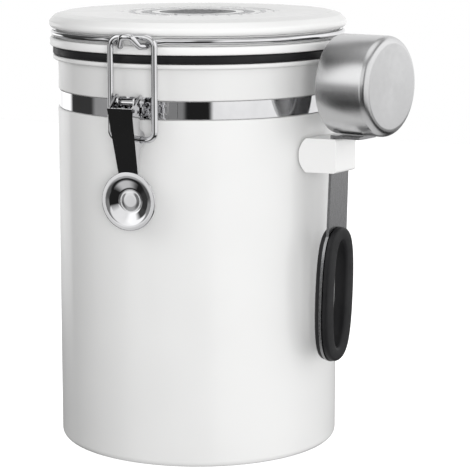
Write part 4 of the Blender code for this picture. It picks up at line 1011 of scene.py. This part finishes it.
def make_lid_cap():
    """The lid's top moulding, with a recess for the dials and a hole for the valve's hub."""
    inner = NECK_RADIUS - LID_WALL
    roof = CAP_TOP - CAP_THICKNESS
    web = RECESS_RADIUS + CAP_THICKNESS
    hole = HUB_NECK_RADIUS + CLEARANCE
    corners = [
        (RECESS_RADIUS, CAP_TOP, LID_EDGE),
        (CAP_RADIUS - CAP_SHOULDER, CAP_TOP, CAP_ROUND),
        (CAP_RADIUS - CAP_CROWN_INSET, CAP_TOP - CAP_CROWN_DROP, CAP_ROUND),
        (CAP_RADIUS, CAP_TOP - CAP_CROWN_DROP - CAP_CROWN_INSET, CAP_ROUND),
        (CAP_RADIUS, CAP_FOOT + CAP_LIP, CAP_ROUND),
        (CAP_RADIUS - CAP_LIP, CAP_FOOT, LID_EDGE),
        (inner, CAP_FOOT, 0),
        (inner, roof - CAP_THICKNESS, CAP_ROUND),
        (inner - CAP_THICKNESS, roof, CAP_ROUND),
        (web, roof, 0),
        (web, RECESS_FLOOR - CAP_THICKNESS, 0),
        (hole, RECESS_FLOOR - CAP_THICKNESS, 0),
        (hole, RECESS_FLOOR, 0),
        (RECESS_RADIUS, RECESS_FLOOR, 0),
    ]
    cap = turned("lid_cap", corners, True)
    depth = 2 * (INDEX_DEPTH + CLEARANCE)
    cut(cap, rods("index_holes", index_places(), INDEX_RADIUS + CLEARANCE, depth))
    dress(cap, WHITE_PLASTIC, "lid")


def make_index_marks():
    """Two dots beside the dials, each in its own blind hole."""
    for index, place in enumerate(index_places(), 1):
        middle = Vector(place) - Vector((0, 0, INDEX_DEPTH / 2))
        dress(rods(f"index_mark_{index}", [middle], INDEX_RADIUS, INDEX_DEPTH), GREY_PLASTIC, "lid")


def make_dial(name, inner, outer, look):
    """A flat dial that turns in the recess, with a pip to turn it by and chamfered edges."""
    top = DIAL_FOOT + DIAL_THICKNESS
    corners = [
        (inner, top, DIAL_EDGE),
        (outer, top, DIAL_EDGE),
        (outer, DIAL_FOOT, 0),
        (inner, DIAL_FOOT, 0),
    ]
    dial = turned(name, corners, True)
    place = [(0, -(inner + outer) / 2, top)]
    join(dial, rods(name + "_pip", place, PIP_RADIUS, 2 * PIP_HEIGHT, steps=DISC_STEPS))
    dress(dial, look, name)


def make_numbers(name, count, radius, size, body):
    """Plain numbers round a dial, standing just proud of it and read from the rim."""
    top = DIAL_FOOT + DIAL_THICKNESS
    work = bmesh.new()
    for number in range(1, count + 1):
        text = bpy.data.curves.new(name, "FONT")
        text.body = str(number)
        text.size = size
        text.align_x = "CENTER"
        text.align_y = "CENTER"
        text.extrude = DIGIT_RISE
        text.resolution_u = DIGIT_STEPS
        obj = add_object(name, text)
        mesh = evaluated(obj)
        angle = 2 * pi * (number - 0.5) / count
        mesh.transform(rotation(angle, "Z") @ Matrix.Translation((0, -radius, top)))
        work.from_mesh(mesh)
        bpy.data.objects.remove(obj, do_unlink=True)
    mesh = new_mesh(name, work)
    mesh.materials.append(looks[INK])
    digits = add_object(name, mesh)
    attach(digits, body)


def make_valve_body():
    """The hub between the dials, and the tube that carries the valve's seat through the lid."""
    top = DIAL_FOOT + DIAL_THICKNESS
    pocket = GRILLE_RADIUS + CLEARANCE
    ledge = DIAL_FOOT + CLEARANCE
    neck_foot = DIAL_FOOT - HUB_NECK_DEPTH
    cone_foot = neck_foot - HUB_CONE_DEPTH
    corners = [
        (0, SEAT_TOP, 0),
        (TUBE_BORE, SEAT_TOP, 0),
        (TUBE_BORE, cone_foot, 0),
        (pocket - HUB_LEDGE, neck_foot, 0),
        (pocket - HUB_LEDGE, ledge, 0),
        (pocket, ledge, 0),
        (pocket, top, 0),
        (HUB_RADIUS, top, 0),
        (HUB_RADIUS, DIAL_FOOT, 0),
        (HUB_NECK_RADIUS, DIAL_FOOT, 0),
        (HUB_NECK_RADIUS, neck_foot, 0),
        (TUBE_RADIUS, cone_foot, 0),
        (TUBE_RADIUS, TUBE_FOOT, 0),
        (TUBE_BORE, TUBE_FOOT, 0),
        (TUBE_BORE, SEAT_FOOT, 0),
        (0, SEAT_FOOT, 0),
    ]
    body = turned("valve_body", corners, steps=HUB_STEPS)
    middle = (SEAT_TOP + SEAT_FOOT) / 2
    depth = SEAT_THICKNESS + 2 * OVERRUN
    vents = rods("seat_vents", on_circle(SEAT_HOLES, SEAT_HOLE_CIRCLE, middle), SEAT_HOLE_RADIUS, depth)
    bore = rods("stem_bore", [(0, 0, middle)], STEM_RADIUS + CLEARANCE, depth)
    cut(body, vents, bore)
    dress(body, WHITE_PLASTIC, "lid")


def make_valve_grille():
    """The slotted cover in the hub."""
    low = DIAL_FOOT + 2 * CLEARANCE
    high = low + GRILLE_THICKNESS
    grille = disc("valve_grille", GRILLE_RADIUS, low, high, HUB_STEPS)
    reach = GRILLE_RADIUS - HUB_LEDGE
    for index in range(GRILLE_SLOTS):
        across = (index - (GRILLE_SLOTS - 1) / 2) * GRILLE_SLOT_PITCH
        half_length = sqrt(max(reach**2 - across**2, GRILLE_SLOT_PITCH**2))
        start = (across - GRILLE_SLOT_WIDTH / 2, -half_length, low - OVERRUN)
        end = (across + GRILLE_SLOT_WIDTH / 2, half_length, high + OVERRUN)
        cut(grille, box(f"grille_slot_{index}", start, end))
    dress(grille, DARK_PLASTIC, "lid", SHEET_EDGE)


def holder_back():
    """The bowed back edge of the holder, from its top to its foot: out from the can's axis, and up."""
    half = HOLDER_HEIGHT / 2
    bow = (half**2 + HOLDER_BACK_SAGITTA**2) / (2 * HOLDER_BACK_SAGITTA)
    reach = asin(half / bow)
    places = []
    for step in range(HOLDER_BACK_STEPS + 1):
        angle = reach * (1 - 2 * step / HOLDER_BACK_STEPS)
        out = BODY_RADIUS + bow * (1 - cos(angle))
        places.append((out, HOLDER_LOW + half + bow * sin(angle), 0))
    return places


def holder_flank(name, side):
    """A cutter beside the holder, which leaves it wider at the can than at its face."""
    flare = atan((HOLDER_ROOT_HALF_WIDTH - HOLDER_HALF_WIDTH) / HOLDER_OUT)
    width = side * (HOLDER_ROOT_HALF_WIDTH + OVERRUN)
    low = (min(0, width), -OVERRUN, -OVERRUN)
    high = (max(0, width), HOLDER_OUT + HOLDER_ROOT_HALF_WIDTH, HOLDER_HEIGHT + OVERRUN)
    place = (side * HOLDER_HALF_WIDTH, -BODY_RADIUS - HOLDER_OUT, HOLDER_LOW)
    return box(name, low, high, (0, 0, -side * flare), place)


def make_scoop_holder(carrier):
    """A block on the can's wall, with a slot that is open at the far side for the handle."""
    saddle = BODY_RADIUS + 2 * CLEARANCE + PAD_THICKNESS
    face = BODY_RADIUS + HOLDER_OUT
    corners = [(face, HOLDER_LOW, HOLDER_FACE_ROUND), (face, HOLDER_TOP, HOLDER_FACE_ROUND), *holder_back()]
    holder = plate("scoop_holder", [outline(corners)], 2 * HOLDER_ROOT_HALF_WIDTH, SIDEWAYS)
    wall = disc("saddle_cut", saddle, HOLDER_LOW - OVERRUN, HOLDER_TOP + OVERRUN)
    near_flank = holder_flank("near_flank", -1)
    far_flank = holder_flank("far_flank", 1)
    low = (HOLDER_NEAR_WALL - HOLDER_HALF_WIDTH, -CLEARANCE, -2 * HOLDER_HEIGHT)
    high = (HOLDER_ROOT_HALF_WIDTH, HANDLE_THICKNESS + CLEARANCE, HOLDER_HEIGHT)
    slot = box("holder_slot", low, high, (HANDLE_LEAN, 0, 0), HANDLE_TOP)
    cut(holder, wall, near_flank, far_flank, slot)
    for obj in (holder, wall, near_flank, far_flank, slot):
        obj.parent = carrier
    dress(holder, WHITE_PLASTIC, edge=MOULD_EDGE)


def make_scoop_cup(carrier):
    corners = [
        (0, CUP_DEPTH, 0),
        (CUP_RADIUS, CUP_DEPTH, CUP_CORNER),
        (CUP_RADIUS, 0, CUP_WALL / 2),
        (CUP_RADIUS - CUP_WALL, 0, CUP_WALL / 2),
        (CUP_RADIUS - CUP_WALL, CUP_DEPTH - CUP_WALL, CUP_CORNER - CUP_WALL),
        (0, CUP_DEPTH - CUP_WALL, 0),
    ]
    place = (0, -CUP_RIM, CUP_CENTRE)
    cup = turned("scoop_cup", corners, False, CUP_STEPS, FACING, place)
    cup.parent = carrier
    dress(cup, BRUSHED, "scoop", upright=False)


def oval(out=0.0, centre=0.0):
    """The grip's hole, or a line at an even distance outside it."""
    places = []
    for step in range(OVAL_STEPS):
        angle = 2 * pi * step / OVAL_STEPS
        across = copysign(abs(cos(angle)) ** (2 / OVAL_POWER), cos(angle))
        up = copysign(abs(sin(angle)) ** (2 / OVAL_POWER), sin(angle))
        lean_across = copysign(abs(across) ** (OVAL_POWER - 1), across) / GRIP_HOLE_HALF_WIDTH
        lean_up = copysign(abs(up) ** (OVAL_POWER - 1), up) / GRIP_HOLE_HALF_HEIGHT
        normal = Vector((lean_across, lean_up, 0)).normalized()
        place = Vector((across * GRIP_HOLE_HALF_WIDTH, centre + up * GRIP_HOLE_HALF_HEIGHT, 0))
        places.append(place + normal * out)
    return places


def make_scoop_handle(carrier):
    """The strip with its oval end, and the tab bent out under the cup."""
    outer = oval(GRIP_WIDTH + HANDLE_EDGE, -OVAL_DROP)
    quarter = OVAL_STEPS // 4
    line = outer[quarter:] + outer[:quarter]
    lower = [place for place in line if place.y < -OVAL_DROP or abs(place.x) > HANDLE_HALF_WIDTH]
    edge = [Vector((-HANDLE_HALF_WIDTH, 0, 0)), *lower, Vector((HANDLE_HALF_WIDTH, 0, 0))]
    hole = oval(GRIP_NECK + CLEARANCE, -OVAL_DROP)
    place = HANDLE_TOP + HANDLE_INWARD
    handle = plate("scoop_handle", [edge, hole], HANDLE_THICKNESS, HANDLE_LAY, place)
    low = (-HANDLE_HALF_WIDTH, -TAB_LENGTH, -TAB_THICKNESS)
    high = (HANDLE_HALF_WIDTH, HANDLE_THICKNESS - HANDLE_BEND, 0)
    tab = box("handle_tab", low, high, (0, 0, 0), HANDLE_TOP)
    join(handle, tab)
    for obj in (handle, tab):
        obj.parent = carrier
    # The strip wears the darker copy of the brushed steel, which is painted shade
    dress(handle, SHADED_STRIP, "scoop", STRIP_ROUND)


def make_scoop_grip(carrier):
    """A grommet that grips the edge of the handle's hole from both faces."""
    gap = HANDLE_THICKNESS / 2 + CLEARANCE
    face = gap + GRIP_THICKNESS
    corners = [
        (0, -face, GRIP_ROUND),
        (GRIP_WIDTH, -face, GRIP_ROUND),
        (GRIP_WIDTH, -gap, 0),
        (GRIP_NECK, -gap, 0),
        (GRIP_NECK, gap, 0),
        (GRIP_WIDTH, gap, 0),
        (GRIP_WIDTH, face, GRIP_ROUND),
        (0, face, GRIP_ROUND),
    ]
    section = add_object("grip_section", new_curve("grip_section", "2D", [outline(corners)]))
    helpers.append(section)
    path = new_curve("scoop_grip", "3D", [oval()])
    path.twist_mode = "Z_UP"
    path.bevel_mode = "OBJECT"
    path.bevel_object = section
    down = Vector((0, sin(HANDLE_LEAN), -cos(HANDLE_LEAN))) * OVAL_DROP
    grip = baked(add_object("scoop_grip", path, HANDLE_LAY, HANDLE_TOP + down + HANDLE_INWARD))
    grip.parent = carrier
    dress(grip, BLACK_RUBBER, "scoop")


def new_look(name, color, roughness, metallic=0.0):
    material = bpy.data.materials.new(name + "_look")
    material.use_nodes = True
    shader = material.node_tree.nodes["Principled BSDF"]
    shader.inputs["Base Color"].default_value = (*color, 1)
    shader.inputs["Roughness"].default_value = roughness
    shader.inputs["Metallic"].default_value = metallic
    looks[name] = material
    return material.node_tree, shader


def add_node(tree, kind, *sources, **inputs):
    """A node with its inputs set to values or linked to sockets, by their order or by name."""
    node = tree.nodes.new("ShaderNode" + kind)
    fed = list(zip(node.inputs, sources))
    fed += [(node.inputs[name], value) for name, value in inputs.items()]
    for socket, value in fed:
        if isinstance(value, bpy.types.NodeSocket):
            tree.links.new(value, socket)
        else:
            socket.default_value = value
    return node


def ramp(tree, source, stops):
    """A colour or a brightness that follows (position, value) stops over a source."""
    node = add_node(tree, "ValToRGB", source)
    elements = node.color_ramp.elements
    elements.remove(elements[-1])
    for index, (position, value) in enumerate(stops):
        element = elements[0] if index == 0 else elements.new(position)
        element.position = position
        element.color = (*value, 1) if isinstance(value, tuple) else (value, value, value, 1)
    return node.outputs["Color"]


def noise(tree, scale, detail=3.0, stretch=(1, 1, 1)):
    """Noise over the object's own coordinates, in waves per metre, stretched along its axes."""
    coords = add_node(tree, "TexCoord").outputs["Object"]
    stretched = add_node(tree, "Mapping", coords, Scale=stretch).outputs["Vector"]
    return add_node(tree, "TexNoise", stretched, Scale=scale, Detail=detail).outputs["Fac"]


def tint(tree, shader, grain, *colors):
    blend = ramp(tree, noise(tree, *grain), zip(TINT_SPAN, colors))
    tree.links.new(blend, shader.inputs["Base Color"])


def vary(tree, shader, grain, low, high):
    node = add_node(tree, "MapRange", noise(tree, *grain), *VARY_SPAN, low, high)
    tree.links.new(node.outputs["Result"], shader.inputs["Roughness"])


def roughen(tree, shader, grain, strength, distance):
    node = add_node(tree, "Bump", Height=noise(tree, *grain), Strength=strength, Distance=distance)
    tree.links.new(node.outputs["Normal"], shader.inputs["Normal"])


def make_looks():
    for name, (base, *grains) in LOOKS.items():
        tree, shader = new_look(name, *base)
        for apply, values in zip((tint, vary, roughen), grains):
            if values:
                apply(tree, shader, *values)
        for look, socket, value in LOOK_EXTRAS:
            if look == name:
                shader.inputs[socket].default_value = value
    tree = looks[BRUSHED].node_tree
    tangent = add_node(tree, "Tangent")
    tangent.direction_type = "RADIAL"
    tangent.axis = "Z"
    tree.links.new(tangent.outputs["Tangent"], tree.nodes["Principled BSDF"].inputs["Tangent"])


def dress_cad_node(node, look):
    """Gives a carried-over solid its look."""
    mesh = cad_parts[node].data
    mesh.materials.clear()
    mesh.materials.append(looks[look])


def add_camera():
    """The photograph's camera: its place, its tilt and its off-centre frame."""
    data = bpy.data.cameras.new("camera")
    data.sensor_width = SENSOR_WIDTH
    data.lens = CAMERA_FOCUS / PHOTO_SIZE * SENSOR_WIDTH
    data.shift_x = 0.5 - CAMERA_CENTRE[0] / PHOTO_SIZE
    data.shift_y = CAMERA_CENTRE[1] / PHOTO_SIZE - 0.5
    data.clip_start = CAMERA_NEAR
    camera = new_object("camera", data)
    right = Vector((cos(CAMERA_AZIMUTH), sin(CAMERA_AZIMUTH), 0))
    ahead = Vector((-sin(CAMERA_AZIMUTH), cos(CAMERA_AZIMUTH), 0))
    level = right * sin(CAMERA_YAW) + ahead * cos(CAMERA_YAW)
    forward = level * cos(CAMERA_PITCH) - Vector((0, 0, sin(CAMERA_PITCH)))
    side = right * cos(CAMERA_YAW) - ahead * sin(CAMERA_YAW)
    up = side.cross(forward)
    rolled_side = side * cos(CAMERA_ROLL) + up * sin(CAMERA_ROLL)
    rolled_up = up * cos(CAMERA_ROLL) - side * sin(CAMERA_ROLL)
    turn = Matrix((rolled_side, rolled_up, -forward)).transposed()
    place = -ahead * CAMERA_DISTANCE + Vector((0, 0, CAMERA_HEIGHT))
    camera.matrix_world = Matrix.Translation(place) @ turn.to_4x4()
    bpy.context.scene.camera = camera


def math_node(tree, operation, *sources):
    node = add_node(tree, "Math", *sources)
    node.operation = operation
    return node.outputs[0]


def add_studio():
    """Light round the object: bright and dark zones for what is polished, and soft light for the rest."""
    world = bpy.data.worlds.new("studio")
    world.use_nodes = True
    world.cycles.sampling_method = "NONE"
    bpy.context.scene.world = world
    tree = world.node_tree
    tree.nodes.clear()
    coords = add_node(tree, "TexCoord").outputs["Generated"]
    turn = add_node(tree, "VectorRotate", coords, Angle=-CAMERA_AZIMUTH)
    turn.rotation_type = "Z_AXIS"
    across, ahead, height = add_node(tree, "SeparateXYZ", turn.outputs["Vector"]).outputs
    azimuth = math_node(tree, "ARCTAN2", across, math_node(tree, "MULTIPLY", ahead, -1.0))
    share = math_node(tree, "ADD", math_node(tree, "DIVIDE", azimuth, 2 * pi), 0.5)
    climb = math_node(tree, "ADD", math_node(tree, "MULTIPLY", height, 0.5), 0.5)

    zones = ramp(tree, share, AROUND_STOPS)
    for reach, source, stops in (
        (LOW_REACH, share, LOW_STOPS),
        (ABOVE_REACH, share, ABOVE_STOPS),
        (ENDS_REACH, climb, ENDS_STOPS),
    ):
        layer = ramp(tree, source, stops)
        zones = add_node(tree, "MixRGB", ramp(tree, climb, reach), zones, layer).outputs["Color"]

    soft = add_node(tree, "MapRange", across, -1.0, 1.0, FILL_LEFT, FILL_RIGHT).outputs["Result"]
    strength = math_node(tree, "MULTIPLY", soft, ramp(tree, climb, FILL_STOPS))

    path = add_node(tree, "LightPath").outputs
    glossy = add_node(tree, "Background", zones).outputs[0]
    plain = add_node(tree, "Background", (1, 1, 1, 1), strength).outputs[0]
    seen = add_node(tree, "Background", (1, 1, 1, 1)).outputs[0]
    light = add_node(tree, "MixShader", path["Is Glossy Ray"], plain, glossy).outputs[0]
    both = add_node(tree, "MixShader", path["Is Camera Ray"], light, seen).outputs[0]
    add_node(tree, "OutputWorld", both)


def add_light(name, degrees, height, distance, size, power):
    """A soft square light that faces the can, at an azimuth from the camera."""
    data = bpy.data.lights.new(name, "AREA")
    data.size = size
    data.energy = power
    light = new_object(name, data)
    angle = CAMERA_AZIMUTH + radians(degrees)
    light.location = around(distance, angle, height)
    aim = Vector((0, 0, RIM_HEIGHT / 2)) - light.location
    light.rotation_euler = aim.to_track_quat("-Z", "Y").to_euler()
    light.visible_glossy = False


def add_floor():
    """A pale floor that only the camera sees, so that it throws no glare on the base."""
    work = bmesh.new()
    bmesh.ops.create_grid(work, x_segments=1, y_segments=1, size=FLOOR_HALF)
    mesh = new_mesh("floor", work)
    tree, shader = new_look("floor", FLOOR_COLOR, FLOOR_ROUGHNESS)
    shader.inputs["Emission Color"].default_value = (1, 1, 1, 1)
    shader.inputs["Emission Strength"].default_value = FLOOR_GLOW
    mesh.materials.append(looks["floor"])
    floor = new_object("floor", mesh)
    floor.location = (0, 0, -FLOOR_DROP)
    floor.visible_glossy = False
    floor.visible_diffuse = False


make_looks()
scoop_frame = add_carrier("scoop_frame", (0, 0, SCOOP_AZIMUTH))
latch_rivets = rivet_places(BRACKET_HALF_WIDTH, 0)
hinge_rivets = rivet_places(HINGE_PLATE_HALF_WIDTH, pi)

make_can_shell()
make_neck_band()
make_band_clip()
make_latch_bracket(latch_rivets)
make_rivets("latch_rivet", latch_rivets)
make_lever_pin()
make_hinge_bracket(hinge_rivets)
make_rivets("hinge_rivet", hinge_rivets)
make_latch_lever()
make_link_wire()
make_lid_wire()
make_gasket()
make_lid_base()
make_lid_cap()
make_index_marks()
make_dial("day_dial", DAY_INNER, DAY_OUTER, WHITE_PLASTIC)
make_dial("month_dial", MONTH_INNER, MONTH_OUTER, GREY_PLASTIC)
make_numbers("day_numbers", DAY_COUNT, (DAY_INNER + DAY_OUTER) / 2, DAY_DIGIT_SIZE, "day_dial")
make_numbers("month_numbers", MONTH_COUNT, (MONTH_INNER + MONTH_OUTER) / 2, MONTH_DIGIT_SIZE, "month_dial")
make_valve_body()
make_valve_grille()
make_scoop_holder(scoop_frame)
make_scoop_cup(scoop_frame)
make_scoop_handle(scoop_frame)
make_scoop_grip(scoop_frame)
bpy.data.objects.remove(scoop_frame, do_unlink=True)

dress_cad_node("valve_flap", BLACK_RUBBER)
dress_cad_node("filter_disc", FOAM)
dress_cad_node("valve_cover", WHITE_PLASTIC)
dress_cad_node("holder_pad", FOAM)

add_camera()
add_studio()
add_floor()
for light in LIGHTS:
    add_light(*light)
bpy.context.scene.view_settings.view_transform = "Standard"
